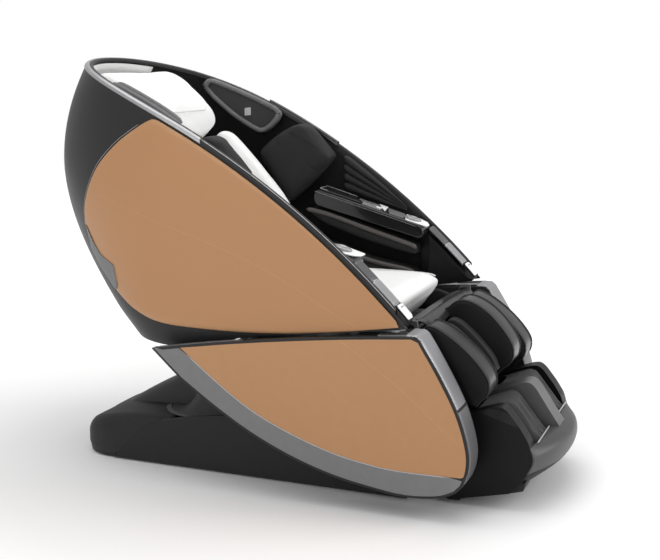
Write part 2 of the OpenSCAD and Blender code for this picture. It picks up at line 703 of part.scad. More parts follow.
// ---- Foot box ----
function foot_front(x) = -770 + 70 * pow(abs(x) / foot_half_w, 2);
foot_plan = concat([[foot_half_w, -440]], [for (i = [0 : 16]) let (x = foot_half_w * (1 - i / 8)) [x, foot_front(x)]],
  [[-foot_half_w, -440]]);
foot_side = concat([[-482, 5], [-446, 70], [-414, 162], [-428, 192], [-455, 208], [-506, 236]],
  smooth_to([[-560, 258], [-612, 278], [-630, 279], [-645, 268], [-690, 212], [-722, 178]], 3),
  smooth_to([[-745, 174], [-764, 164], [-770, 146], [-764, 118], [-748, 92], [-722, 70], [-692, 56], [-663, 49]], 3));
well_in = 34;
well_out = 200;
well_floor = 443;
heel_u = -142;
toe_u = 84;
module well(x0, x1, grow) {
  slab(x0 - grow, x1 + grow) polygon([on_leg(180, heel_u - grow), on_leg(well_floor + grow, heel_u - grow),
    on_leg(well_floor + grow, toe_u + grow), on_leg(380, toe_u + 30 + grow), on_leg(180, toe_u + 30 + grow)]);
}
module foot_box() {
  color([0.1, 0.1, 0.1]) {
    difference() {
      intersection() {
        slab(-foot_half_w, foot_half_w) polygon(foot_side);
        linear_extrude(400) polygon(foot_plan);
      }
      well(-well_out, -well_in, 0);
      well(well_in, well_out, 0);
      // Slots and bearings for the sole rollers
      both() pin(roller_at, foot_roller_r + 3, -150, -84);
      both() pin(roller_at, 5 + fit, -160, -70);
    }
    both() strut(on_leg(420, guide_u), on_leg(120, guide_u), 9, -guide_x);
  }
}
foot_roller_r = 16;
roller_at = on_leg(well_floor + 14, -30);
module foot_liner() {
  color([0.05, 0.05, 0.05]) both() difference() {
    intersection() {
      well(-well_out, -well_in, -0.1);
      slab(-foot_half_w, foot_half_w) translate([0, -2]) polygon(foot_side);
      translate([0, 3, 0]) linear_extrude(400) polygon(foot_plan);
    }
    slab(-well_out + 6, -well_in - 6) polygon([on_leg(180, heel_u + 6), on_leg(well_floor - 6, heel_u + 6),
      on_leg(well_floor - 6, toe_u - 6), on_leg(380, toe_u + 60), on_leg(180, toe_u + 60)]);
    pin(roller_at, foot_roller_r + 3, -150, -84);
  }
}
module foot_rollers() {
  color([0.8, 0.8, 0.8]) both() {
    pin(roller_at, foot_roller_r, -143, -91);
    pin(roller_at, 5, -155, -79);
  }
}

base_frame();
rear_bumper();
hump_cover();
side_cover_right();
side_cover_left();
base_feet();
control_box();
air_pump();
power_switch();
transport_wheels();
tilt_motor();
tilt_rod();
seat_frame();
seat_cushion();
hip_airbags();
wing_shell_right();
wing_shell_left();
wing_panel_right();
wing_panel_left();
wing_bands();
wing_fronts();
recline_motor();
recline_rod();
leg_motor();
leg_rod();
back_shell();
cocoon_panel_right();
cocoon_panel_left();
badge_plates();
rim_strip();
inner_liner();
arm_front_right();
arm_front_left();
arm_top_trims();
tip_insets();
speaker_pods();
speaker_grilles();
shoulder_airbags();
rib_pads();
arm_airbags();
back_frame();
back_cushion();
head_pillow();
console_right();
console_left();
dial_right();
dial_left();
start_key_right();
start_key_left();
massage_carriage();
knead_shaft();
massage_roller_right();
massage_roller_left();
leg_frame();
calf_lobe_right();
calf_lobe_middle();
calf_lobe_left();
foot_box();
foot_liner();
foot_rollers();
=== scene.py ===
import json
import math
import bmesh
import bpy
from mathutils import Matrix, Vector

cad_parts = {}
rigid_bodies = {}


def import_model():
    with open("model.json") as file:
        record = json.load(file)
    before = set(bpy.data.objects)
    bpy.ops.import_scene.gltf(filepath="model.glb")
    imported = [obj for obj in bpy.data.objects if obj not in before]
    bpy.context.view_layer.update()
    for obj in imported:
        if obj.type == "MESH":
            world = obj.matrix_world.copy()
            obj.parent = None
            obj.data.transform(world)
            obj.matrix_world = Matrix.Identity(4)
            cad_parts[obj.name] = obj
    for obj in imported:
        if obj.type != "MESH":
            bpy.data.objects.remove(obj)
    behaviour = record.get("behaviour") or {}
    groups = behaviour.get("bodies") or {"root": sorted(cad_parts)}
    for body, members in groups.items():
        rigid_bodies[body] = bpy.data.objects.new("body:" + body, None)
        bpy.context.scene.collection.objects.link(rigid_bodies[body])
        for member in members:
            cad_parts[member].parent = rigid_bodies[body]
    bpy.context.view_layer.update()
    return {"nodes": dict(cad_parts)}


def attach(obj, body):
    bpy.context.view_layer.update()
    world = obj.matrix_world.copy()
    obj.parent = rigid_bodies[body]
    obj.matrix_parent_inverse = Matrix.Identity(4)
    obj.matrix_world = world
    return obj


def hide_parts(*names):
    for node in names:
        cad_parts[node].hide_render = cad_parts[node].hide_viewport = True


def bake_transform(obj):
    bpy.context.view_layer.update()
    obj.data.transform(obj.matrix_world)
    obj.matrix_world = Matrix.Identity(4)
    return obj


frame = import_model()
nodes = frame["nodes"]
print("frame loaded")

# All helper shapes below take millimetres, in the chair's own frame: -Y is forward, +Z is up


# Curves and meshes
def spline(points, steps=6, closed=False):
    # Catmull-Rom through every point
    n = len(points)
    spans = n if closed else n - 1
    out = []
    for i in range(spans):
        ring = [points[(i + k) % n] if closed else points[max(0, min(n - 1, i + k))] for k in (-1, 0, 1, 2)]
        for j in range(steps):
            t = j / steps
            out.append(tuple(0.5 * (2 * b + (c - a) * t + (2 * a - 5 * b + 4 * c - d) * t * t
                                    + (3 * b - 3 * c + d - a) * t ** 3) for a, b, c, d in zip(*ring)))
    if not closed:
        out.append(tuple(points[-1]))
    return out


def resample(points, count):
    # count points at even spacing along an open run
    gaps = [math.dist(points[i], points[i + 1]) for i in range(len(points) - 1)]
    total = sum(gaps)
    out, i, walked = [], 0, 0.0
    for k in range(count):
        want = total * k / (count - 1)
        while i < len(gaps) - 1 and walked + gaps[i] < want:
            walked += gaps[i]
            i += 1
        t = 0 if gaps[i] == 0 else (want - walked) / gaps[i]
        out.append(tuple(a + (b - a) * t for a, b in zip(points[i], points[i + 1])))
    return out


def roundCorners(points, radius, steps=5):
    # Every corner of a closed outline becomes a short curve
    n, out = len(points), []
    for i in range(n):
        a, b, c = (Vector(points[(i + k) % n]) for k in (-1, 0, 1))
        cut = min(radius, (a - b).length * 0.45, (c - b).length * 0.45)
        p, q = b + (a - b).normalized() * cut, b + (c - b).normalized() * cut
        for j in range(steps + 1):
            t = j / steps
            out.append(tuple(p * (1 - t) ** 2 + b * 2 * t * (1 - t) + q * t * t))
    return out


def makePiece(name, verts, faces, smooth=True):
    mesh = bpy.data.meshes.new(name)
    mesh.from_pydata([(x / 1000, y / 1000, z / 1000) for x, y, z in verts], [], faces)
    mesh.update()
    piece = bpy.data.objects.new(name, mesh)
    bpy.context.scene.collection.objects.link(piece)
    cleanNormals(piece, smooth)
    return piece


def cleanNormals(piece, smooth=True):
    bm = bmesh.new()
    bm.from_mesh(piece.data)
    bmesh.ops.remove_doubles(bm, verts=bm.verts, dist=1e-5)
    bmesh.ops.recalc_face_normals(bm, faces=bm.faces)
    for face in bm.faces:
        face.smooth = smooth
    bm.to_mesh(piece.data)
    bm.free()


def gridFaces(rows, cols, wrapCols=False, wrapRows=False):
    faces = []
    for r in range(rows if wrapRows else rows - 1):
        for c in range(cols if wrapCols else cols - 1):
            r2, c2 = (r + 1) % rows, (c + 1) % cols
            faces.append((r * cols + c, r * cols + c2, r2 * cols + c2, r2 * cols + c))
    return faces


def sheetPiece(name, rows, wrapCols=False):
    verts = [p for row in rows for p in row]
    return makePiece(name, verts, gridFaces(len(rows), len(rows[0]), wrapCols))


def addModifier(piece, kind, **values):
    mod = piece.modifiers.new(kind.title(), kind)
    for key, value in values.items():
        setattr(mod, key, value)
    return mod


def bevelEdges(piece, width, segments=3, angle=35):
    addModifier(piece, "BEVEL", width=width / 1000, segments=segments, limit_method="ANGLE",
                angle_limit=math.radians(angle), harden_normals=False, miter_outer="MITER_ARC")
    addModifier(piece, "WEIGHTED_NORMAL", keep_sharp=True)


def thicken(piece, amount, offset=-1):
    addModifier(piece, "SOLIDIFY", thickness=amount / 1000, offset=offset, use_even_offset=False)


def insetRing(ring, amount):
    # Moves a closed 2D outline inwards by amount, on averaged normals
    n = len(ring)
    area = sum(ring[i][0] * ring[(i + 1) % n][1] - ring[(i + 1) % n][0] * ring[i][1] for i in range(n))
    turn = 1 if area > 0 else -1
    out = []
    for i in range(n):
        (ax, ay), (bx, by), (cx, cy) = ring[i - 1], ring[i], ring[(i + 1) % n]
        nx, ny = -((cy - ay)), (cx - ax)
        size = math.hypot(nx, ny) or 1
        out.append((bx + turn * nx / size * amount, by + turn * ny / size * amount))
    return out


def slabPiece(name, outline, x0, x1, roundness=3, crown=0, steps=4, place=None):
    # A [y, z] outline made solid from x0 to x1, with round edges and, if crown is set, puffed sides
    n = len(outline)
    cy = sum(p[0] for p in outline) / n
    cz = sum(p[1] for p in outline) / n
    core = insetRing(outline, roundness)
    half = []
    for k in range(1, 5):
        s = k / 5
        bulge = crown * (1 - s * s)
        half.append(([(cy + (y - cy) * s, cz + (z - cz) * s) for y, z in core], -bulge))
    for j in range(steps + 1):
        a = math.pi / 2 * j / steps
        half.append((insetRing(outline, roundness * (1 - math.sin(a))), roundness * (1 - math.cos(a))))
    rings = [([(y, z) for y, z in ring], x0 + dx) for ring, dx in half]
    rings += [([(y, z) for y, z in ring], x1 - dx) for ring, dx in reversed(half)]
    verts = [(x, y, z) for ring, x in rings for y, z in ring]
    faces = gridFaces(len(rings), n, wrapCols=True)
    low, high = len(verts), len(verts) + 1
    verts += [(x0 - crown, cy, cz), (x1 + crown, cy, cz)]
    last = (len(rings) - 1) * n
    for i in range(n):
        faces.append((low, (i + 1) % n, i))
        faces.append((high, last + i, last + (i + 1) % n))
    if place:
        verts = [place(v) for v in verts]
    return makePiece(name, verts, faces)


def platePiece(name, outline, x0, x1, roundness=1.5, segments=3, place=None):
    # A flat plate of any [y, z] outline between x0 and x1, with bevelled edges
    n = len(outline)
    verts = [(x0, y, z) for y, z in outline] + [(x1, y, z) for y, z in outline]
    faces = [tuple(range(n)), tuple(range(2 * n - 1, n - 1, -1))]
    faces += [(i, n + i, n + (i + 1) % n, (i + 1) % n) for i in range(n)]
    if place:
        verts = [place(v) for v in verts]
    plate = makePiece(name, verts, faces)
    bm = bmesh.new()
    bm.from_mesh(plate.data)
    bmesh.ops.triangulate(bm, faces=[f for f in bm.faces if len(f.verts) > 4])
    bm.to_mesh(plate.data)
    bm.free()
    bevelEdges(plate, roundness, segments, 50)
    return plate


def cordPiece(name, points, radius, sides=8, closed=False, flat=1.0):
    # A round bead along a run of points: piping, seams and thin trims
    pts = [Vector(p) for p in points]
    n = len(pts)
    rows = []
    up = Vector((0, 0, 1))
    for i in range(n):
        ahead = pts[(i + 1) % n] if closed or i < n - 1 else pts[i]
        behind = pts[i - 1] if closed or i > 0 else pts[i]
        run = (ahead - behind).normalized()
        side = run.cross(up)
        side = side.normalized() if side.length > 1e-4 else Vector((1, 0, 0))
        lift = side.cross(run)
        ends = 0.35 if not closed and i in (0, n - 1) else 1
        rows.append([tuple(pts[i] + (side * math.cos(a) + lift * math.sin(a) * flat) * radius * ends)
                     for a in (2 * math.pi * k / sides for k in range(sides))])
    verts = [p for row in rows for p in row]
    faces = gridFaces(n, sides, wrapCols=True, wrapRows=closed)
    if not closed:
        faces.append(tuple(range(sides)))
        faces.append(tuple(range(len(verts) - sides, len(verts))))
    return makePiece(name, verts, faces)


def bothSides(build, base):
    # build(name, side) for the sitter's right (-X) and left (+X)
    return [build(base + "Right", -1), build(base + "Left", 1)]


def joinPieces(name, pieces):
    for piece in bpy.context.view_layer.objects:
        piece.select_set(False)
    for piece in pieces:
        for mod in list(piece.modifiers):
            bpy.context.view_layer.objects.active = piece
            bpy.ops.object.modifier_apply(modifier=mod.name)
        piece.select_set(True)
    bpy.context.view_layer.objects.active = pieces[0]
    bpy.ops.object.join()
    pieces[0].name = name
    pieces[0].select_set(False)
    return pieces[0]


def cover(piece, body, *cadNodes, slot=None, material=None):
    if material:
        piece.data.materials.clear()
        piece.data.materials.append(material)
    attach(piece, body)
    if cadNodes:
        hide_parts(*cadNodes)
    return piece


# Shader groups
class Graph:
    # A short way to place and link nodes
    def __init__(self, tree):
        self.tree = tree

    def add(self, kind, inputs=None, **values):
        node = self.tree.nodes.new(kind)
        for key, value in values.items():
            setattr(node, key, value)
        for key, value in (inputs or {}).items():
            self.feed(node, key, value)
        return node

    def feed(self, node, key, value):
        if isinstance(value, bpy.types.NodeSocket):
            self.tree.links.new(value, node.inputs[key])
        elif isinstance(value, bpy.types.Node):
            self.tree.links.new(value.outputs[0], node.inputs[key])
        else:
            node.inputs[key].default_value = value


def newGroup(name, inputs, outputs):
    tree = bpy.data.node_groups.new(name, "ShaderNodeTree")
    for label, kind, value in inputs:
        socket = tree.interface.new_socket(label, in_out="INPUT", socket_type=kind)
        socket.default_value = value
    for label, kind in outputs:
        tree.interface.new_socket(label, in_out="OUTPUT", socket_type=kind)
    graph = Graph(tree)
    return tree, graph, tree.nodes.new("NodeGroupInput"), tree.nodes.new("NodeGroupOutput")


def grainGroup():
    # Moulded plastic or hide: fine cells, and a slower unevenness under them
    tree, g, start, end = newGroup("surfaceGrain", [
        ("Scale", "NodeSocketFloat", 900.0), ("Stretch", "NodeSocketFloat", 1.0), ("Depth", "NodeSocketFloat", 1.0)],
        [("Height", "NodeSocketFloat"), ("Mask", "NodeSocketFloat")])
    place = g.add("ShaderNodeTexCoord")
    cells = g.add("ShaderNodeTexVoronoi", {"Vector": place.outputs["Object"], "Scale": start.outputs["Scale"]},
                  feature="DISTANCE_TO_EDGE")
    soft = g.add("ShaderNodeMath", {0: cells.outputs["Distance"], 1: 2.2}, operation="MULTIPLY", use_clamp=True)
    slow = g.add("ShaderNodeTexNoise", {"Vector": place.outputs["Object"], "Scale": 7.0, "Detail": 3.0})
    stretched = g.add("ShaderNodeMath", {0: slow.outputs["Fac"], 1: start.outputs["Stretch"]}, operation="MULTIPLY")
    both = g.add("ShaderNodeMath", {0: soft, 1: stretched}, operation="ADD")
    deep = g.add("ShaderNodeMath", {0: both, 1: start.outputs["Depth"]}, operation="MULTIPLY")
    g.feed(end, "Height", deep.outputs[0])
    g.feed(end, "Mask", soft.outputs[0])
    return tree


def wearGroup():
    # Edges rub lighter, and dust settles on what faces up
    tree, g, start, end = newGroup("edgeWearAndDust", [
        ("Base", "NodeSocketColor", (0.1, 0.1, 0.1, 1)), ("Worn", "NodeSocketColor", (0.3, 0.3, 0.3, 1)),
        ("Edge", "NodeSocketFloat", 0.3), ("Dust", "NodeSocketFloat", 0.1), ("Roughness", "NodeSocketFloat", 0.5)],
        [("Color", "NodeSocketColor"), ("Roughness", "NodeSocketFloat")])
    shape = g.add("ShaderNodeNewGeometry")
    place = g.add("ShaderNodeTexCoord")
    sharp = g.add("ShaderNodeMapRange", {"Value": shape.outputs["Pointiness"], "From Min": 0.505, "From Max": 0.56})
    breakUp = g.add("ShaderNodeTexNoise", {"Vector": place.outputs["Object"], "Scale": 38.0, "Detail": 5.0})
    rubbed = g.add("ShaderNodeMath", {0: sharp.outputs[0], 1: breakUp.outputs["Fac"]}, operation="MULTIPLY")
    rubbed = g.add("ShaderNodeMath", {0: rubbed, 1: start.outputs["Edge"]}, operation="MULTIPLY", use_clamp=True)
    facing = g.add("ShaderNodeSeparateXYZ", {0: shape.outputs["Normal"]})
    up = g.add("ShaderNodeMapRange", {"Value": facing.outputs["Z"], "From Min": 0.35, "From Max": 1.0})
    patch = g.add("ShaderNodeTexNoise", {"Vector": place.outputs["Object"], "Scale": 9.0, "Detail": 6.0})
    dust = g.add("ShaderNodeMath", {0: up.outputs[0], 1: patch.outputs["Fac"]}, operation="MULTIPLY")
    dust = g.add("ShaderNodeMath", {0: dust, 1: start.outputs["Dust"]}, operation="MULTIPLY", use_clamp=True)
    worn = g.add("ShaderNodeMix", {0: rubbed.outputs[0], 6: start.outputs["Base"], 7: start.outputs["Worn"]},
                 data_type="RGBA")
    dusty = g.add("ShaderNodeMix", {0: dust.outputs[0], 6: worn.outputs[2], 7: (0.42, 0.41, 0.39, 1)},
                  data_type="RGBA")
    rough = g.add("ShaderNodeMath", {0: dust.outputs[0], 1: 0.5, 2: start.outputs["Roughness"]},
                  operation="MULTIPLY_ADD")
    vary = g.add("ShaderNodeMath", {0: patch.outputs["Fac"], 1: 0.10, 2: rough.outputs[0]},
                 operation="MULTIPLY_ADD", use_clamp=True)
    g.feed(end, "Color", dusty.outputs[2])
    g.feed(end, "Roughness", vary.outputs[0])
    return tree


def weaveGroup():
    # Two crossing thread directions
    tree, g, start, end = newGroup("threadWeave", [("Scale", "NodeSocketFloat", 400.0)],
                                   [("Height", "NodeSocketFloat")])
    place = g.add("ShaderNodeTexCoord")
    waves = [g.add("ShaderNodeTexWave", {"Vector": place.outputs["Object"], "Scale": start.outputs["Scale"],
                                         "Distortion": 0.4}, bands_direction=way) for way in ("Y", "Z")]
    both = g.add("ShaderNodeMath", {0: waves[0].outputs["Fac"], 1: waves[1].outputs["Fac"]}, operation="MAXIMUM")
    g.feed(end, "Height", both.outputs[0])
    return tree


grain = grainGroup()
wear = wearGroup()
weave = weaveGroup()


def material(name, color, worn=None, rough=0.5, metal=0.0, edge=0.25, dust=0.05, coat=0.0, coatRough=0.15,
             grainScale=1400.0, grainDepth=0.6, bump=0.0002, sheen=0.0, specular=None, fabric=0.0):
    mat = bpy.data.materials.new(name)
    mat.use_nodes = True
    tree = mat.node_tree
    shader = tree.nodes["Principled BSDF"]
    g = Graph(tree)
    worn = worn or tuple(min(1, c * 2.2 + 0.05) for c in color)
    surface = g.add("ShaderNodeGroup", node_tree=wear)
    for key, value in (("Base", (*color, 1)), ("Worn", (*worn, 1)), ("Edge", edge), ("Dust", dust),
                       ("Roughness", rough)):
        surface.inputs[key].default_value = value
    g.feed(shader, "Base Color", surface.outputs["Color"])
    g.feed(shader, "Roughness", surface.outputs["Roughness"])
    if fabric:
        relief = g.add("ShaderNodeGroup", node_tree=weave)
        relief.inputs["Scale"].default_value = fabric
    else:
        relief = g.add("ShaderNodeGroup", node_tree=grain)
        relief.inputs["Scale"].default_value = grainScale
        relief.inputs["Depth"].default_value = grainDepth
    lift = g.add("ShaderNodeBump", {"Height": relief.outputs["Height"], "Distance": bump, "Strength": 0.6})
    g.feed(shader, "Normal", lift.outputs[0])
    shader.inputs["Metallic"].default_value = metal
    shader.inputs["Coat Weight"].default_value = coat
    shader.inputs["Coat Roughness"].default_value = coatRough
    shader.inputs["Sheen Weight"].default_value = sheen
    # Dark mouldings and hides reflect less than the rest
    shader.inputs["Specular IOR Level"].default_value = specular or (0.2 if max(color) < 0.07 else 0.45)
    return mat


mats = {
    "copperLacquer": material("copperLacquer", (0.425, 0.212, 0.090), (0.60, 0.38, 0.22), rough=0.42, metal=0.15,
                              edge=0.5, dust=0.02, coat=0.15, coatRough=0.3, grainScale=2600, bump=0.00004),
    # Lighter copper for the crease beads: a painted highlight where the creases catch the light
    "copperCreaseHighlight": material("copperCreaseHighlight", (0.52, 0.28, 0.13), rough=0.4, metal=0.15, dust=0),
    "shellBlack": material("shellBlack", (0.016, 0.016, 0.0165), rough=0.38, edge=0.35, grainScale=2200,
                           bump=0.00005, specular=0.28),
    "panelEdge": material("panelEdge", (0.010, 0.010, 0.011), rough=0.4, edge=0.2),
    "baseCharcoal": material("baseCharcoal", (0.019, 0.019, 0.0195), (0.08, 0.08, 0.08), rough=0.52, edge=0.5,
                             grainScale=1700, bump=0.0001),
    "bowlCharcoal": material("bowlCharcoal", (0.036, 0.036, 0.037), rough=0.5, grainScale=1700, bump=0.0001),
    "bandGray": material("bandGray", (0.155, 0.155, 0.156), (0.4, 0.4, 0.4), rough=0.42, metal=0.1, edge=0.5,
                         grainScale=2400, bump=0.00004),
    "badgeGray": material("badgeGray", (0.150, 0.150, 0.152), rough=0.45, edge=0.4),
    "frontSilver": material("frontSilver", (0.30, 0.30, 0.31), (0.6, 0.6, 0.6), rough=0.34, metal=0.55, edge=0.4,
                            grainScale=2400, bump=0.00004),
    "rimSilver": material("rimSilver", (0.36, 0.36, 0.37), (0.6, 0.6, 0.6), rough=0.28, metal=0.6, edge=0.3,
                          bump=0.00003),
    "glossBlack": material("glossBlack", (0.010, 0.010, 0.011), rough=0.16, edge=0.25, coat=0.6, coatRough=0.08,
                           bump=0.00002),
    "linerKnit": material("linerKnit", (0.010, 0.010, 0.010), rough=0.85, fabric=500, bump=0.0003, sheen=0.1),
    "leatherWhite": material("leatherWhite", (0.86, 0.857, 0.85), (0.7, 0.69, 0.67), rough=0.5, edge=0.1,
                             dust=0.0, grainScale=1100, grainDepth=1.0, bump=0.00035),
    "leatherBlack": material("leatherBlack", (0.008, 0.008, 0.0085), (0.06, 0.06, 0.06), rough=0.42, edge=0.2,
                             grainScale=1300, grainDepth=1.0, bump=0.00025, specular=0.16),
    "bagFabric": material("bagFabric", (0.019, 0.019, 0.020), rough=0.55, grainScale=1500, bump=0.0002, dust=0.02),
    # Lighter gray for the airbags' upper edges: a painted highlight
    "bagTopHighlight": material("bagTopHighlight", (0.075, 0.068, 0.064), rough=0.5, grainScale=1500, bump=0.0002),
    "meshDark": material("meshDark", (0.045, 0.045, 0.047), rough=0.6, fabric=900, bump=0.0006),
    "podGray": material("podGray", (0.075, 0.075, 0.077), (0.3, 0.3, 0.3), rough=0.38, edge=0.5),
    "tipWhite": material("tipWhite", (0.86, 0.86, 0.85), rough=0.3, edge=0.05, coat=0.3, dust=0),
    "keyGray": material("keyGray", (0.19, 0.19, 0.19), rough=0.45, edge=0.3),
    "footBlack": material("footBlack", (0.006, 0.006, 0.0062), (0.10, 0.10, 0.10), rough=0.34, edge=0.3,
                          grainScale=2000, bump=0.00006, specular=0.14),
    "footFront": material("footFront", (0.040, 0.040, 0.042), (0.12, 0.12, 0.12), rough=0.36, edge=0.3,
                          grainScale=2000, bump=0.00006, specular=0.5),
    "footSilver": material("footSilver", (0.14, 0.14, 0.145), (0.5, 0.5, 0.5), rough=0.36, metal=0.45, edge=0.5,
                           bump=0.00005),
    "gathered": material("gathered", (0.012, 0.012, 0.013), rough=0.7, fabric=600, bump=0.0003, sheen=0.15),
    "steelPaint": material("steelPaint", (0.05, 0.05, 0.052), (0.3, 0.3, 0.3), rough=0.45, edge=0.6, dust=0.15),
    "steelGround": material("steelGround", (0.52, 0.52, 0.53), rough=0.3, metal=0.9, grainScale=3000,
                            bump=0.00003),
    "motorPaint": material("motorPaint", (0.028, 0.028, 0.030), rough=0.4, edge=0.5, dust=0.12),
    "rubberBlack": material("rubberBlack", (0.018, 0.018, 0.018), rough=0.8, grainScale=1200, bump=0.0003),
    "switchRed": material("switchRed", (0.32, 0.02, 0.02), rough=0.25, coat=0.4, edge=0.1),
    # Light gray for bright beads that stand as painted highlights on edges, and for the pod chips
    "edgeHighlightAndChip": material("edgeHighlightAndChip", (0.42, 0.42, 0.43), rough=0.3, metal=0.3, edge=0.2, dust=0),
    # A darker copy of frontSilver: painted shade on the wing front's lower length
    "frontSilverPaintedShade": material("frontSilverPaintedShade", (0.14, 0.14, 0.145), (0.4, 0.4, 0.4), rough=0.38, metal=0.4, edge=0.4,
                          grainScale=2400, bump=0.00004),
    "bowlGray": material("bowlGray", (0.060, 0.060, 0.061), rough=0.5, grainScale=1700, bump=0.0001),
    "leatherPiping": material("leatherPiping", (0.022, 0.022, 0.023), rough=0.45, edge=0.1, bump=0.0001),
    "leatherGloss": material("leatherGloss", (0.018, 0.018, 0.019), (0.12, 0.12, 0.12), rough=0.27, edge=0.15,
                             dust=0, coat=0.3, coatRough=0.2, grainScale=1300, bump=0.00012),
    # Near black for the airbag seams, and for the painted shade in the pillow folds
    "darkSeamAndFoldShade": material("darkSeamAndFoldShade", (0.006, 0.006, 0.006), rough=0.6, edge=0.1, dust=0),
    "seamLight": material("seamLight", (0.62, 0.61, 0.60), rough=0.55, edge=0.1, dust=0, bump=0.0001),
    "speckleGray": material("speckleGray", (0.12, 0.12, 0.12), (0.4, 0.4, 0.4), rough=0.4, edge=0.2,
                            grainScale=260, grainDepth=2.0, bump=0.0006),
    # A darker copy of trimSilver: painted shade on the rear half of the arm trims
    "trimSilverPaintedShade": material("trimSilverPaintedShade", (0.10, 0.10, 0.105), (0.4, 0.4, 0.4), rough=0.34, metal=0.5, edge=0.3,
                          bump=0.00004),
    "trimSilver": material("trimSilver", (0.34, 0.34, 0.35), (0.6, 0.6, 0.6), rough=0.34, metal=0.5, edge=0.3,
                           bump=0.00004),
    "rollerGray": material("rollerGray", (0.35, 0.35, 0.36), rough=0.4, edge=0.2),
    "amber": material("amber", (0.56, 0.33, 0.12), rough=0.3, coat=0.3, edge=0.2),
}
print("materials ready")


# The cocoon: outer shell, liner, rim and side panels
cocoon = {"halfWidth": 374, "bellyZ": 850, "bellyY": 777, "narrowZ": 450, "narrowRate": 0.28,
          "upperFall": 0.00121, "lowerFall": 0.00321, "lowerPower": 1.838, "tailStart": 235, "tailPower": 2.1,
          "rimCentre": (1315, -1115), "rimRadius": 2364,
          "panelProud": 6, "shellThick": 6}


def sideX(z, out):
    drop = max(0, cocoon["narrowZ"] - z) * cocoon["narrowRate"]
    return cocoon["halfWidth"] + out - drop


def tailY(z, out):
    away = z - cocoon["bellyZ"]
    if away > 0:
        return out + cocoon["bellyY"] - cocoon["upperFall"] * away ** 2
    return out + cocoon["bellyY"] - cocoon["lowerFall"] * (-away) ** cocoon["lowerPower"]


def rimZ(y, drop=0):
    cy, cz = cocoon["rimCentre"]
    return cz + math.sqrt((cocoon["rimRadius"] - drop) ** 2 - (y - cy) ** 2)


def girthPoint(g, z, out):
    # g runs from -1 (right arm tip) through 0 (tail) to 1 (left arm tip); the curved tail is |g| < 0.5
    side = -1 if g < 0 else 1
    g = abs(g)
    if g > 0.5:
        return side * sideX(z, out), cocoon["tailStart"] - (g - 0.5) / 0.5 * 640, z
    a = g / 0.5 * math.pi / 2
    p = 2 / cocoon["tailPower"]
    y = cocoon["tailStart"] + (tailY(z, out) - cocoon["tailStart"]) * math.cos(a) ** p
    return side * sideX(z, out) * math.sin(a) ** p, y, z


def wallX(y, z, out):
    # Half width of the cocoon at a [y, z] place on its side
    start = cocoon["tailStart"]
    if y <= start:
        return sideX(z, out)
    q = min(1, (y - start) / (tailY(z, out) - start))
    return sideX(z, out) * (1 - q ** cocoon["tailPower"]) ** (1 / cocoon["tailPower"])


lowEdge = spline([(-404, 490), (-381, 485), (-202, 461), (-60, 443), (30, 432), (78, 418), (130, 400), (200, 385),
                  (300, 380), (900, 380)], 6)


def lowZ(y):
    for (ya, za), (yb, zb) in zip(lowEdge, lowEdge[1:]):
        if ya <= y <= yb:
            return za + (zb - za) * (y - ya) / max(1e-6, yb - ya)
    return 490 if y < 0 else 380


def meetZ(g, out, level, low=300, high=1200):
    # Height where the wall at g crosses a curve level(y)
    for _ in range(40):
        mid = (low + high) / 2
        if level(girthPoint(g, mid, out)[1]) > mid:
            low = mid
        else:
            high = mid
    return (low + high) / 2


def girthSteps(straight, curved):
    front = [-1 + 0.5 * i / straight for i in range(straight)]
    tail = [-0.5 + 0.5 * i / curved for i in range(curved)]
    half = front + tail
    return half + [0.0] + [-g for g in reversed(half)]


def shellColumn(g, out, rows, drop):
    high = meetZ(g, out, lambda y: rimZ(y, drop))
    low = meetZ(g, out, lowZ, 290, high)
    return [girthPoint(g, low + (high - low) * t, out) for t in (i / rows for i in range(rows + 1))]


def buildShell():
    steps = girthSteps(26, 34)
    rows = [shellColumn(g, -cocoon["panelProud"], 40, 11) for g in steps]
    shell = sheetPiece("cocoonShell", rows)
    thicken(shell, cocoon["shellThick"], -1)
    bevelEdges(shell, 2, 3, 50)
    return cover(shell, "back", "back_shell", slot="shell_plastic", material=mats["shellBlack"])


def buildLiner():
    steps = [g for g in girthSteps(20, 26) if abs(g) < 0.86]
    rows = []
    for g in steps:
        high = meetZ(g, -16, lambda y: rimZ(y, 10))
        low = max(girthPoint(g, 470, -16)[2], 470 if abs(g) > 0.4 else 700)
        rows.append([girthPoint(g, low + (high - low) * i / 24, -16) for i in range(25)])
    liner = sheetPiece("cocoonLiner", rows)
    thicken(liner, 3, -1)
    return cover(liner, "back", "inner_liner", slot="liner_fabric", material=mats["linerKnit"])


# The rim: a silver bead round the head facing outwards, and black inside it and along the arms
rim = {"silverFrom": 150,
       "silver": [(-3, 12), (-3, 7), (-4.5, 4), (-8.5, 1.2), (-12.5, 0), (-15, 1.5), (-15, 12)],
       "inner": [(-14, 12), (-14.5, 1.4), (-17, 0.4), (-24, 0.2), (-27, 3), (-28, 12)],
       "arm": [(-3.5, 11.4), (-3.5, 4), (-6, 0.8), (-13, -0.4), (-17, 1), (-18.5, 5), (-18.5, 11.4)],
       "accent": [(-6, 10), (-6, -3), (-8, -5), (-20, -5), (-22, -3), (-22, 10)]}


def rimRing(g, profile):
    # Cross-section of the rim at g, from its outer foot over the top to its inner foot
    ring = []
    for out, down in profile:
        z = meetZ(g, out, lambda y: rimZ(y, down))
        ring.append(girthPoint(g, z, out))
    return ring


def rimY(g):
    return girthPoint(g, meetZ(g, -6, rimZ), -6)[1]


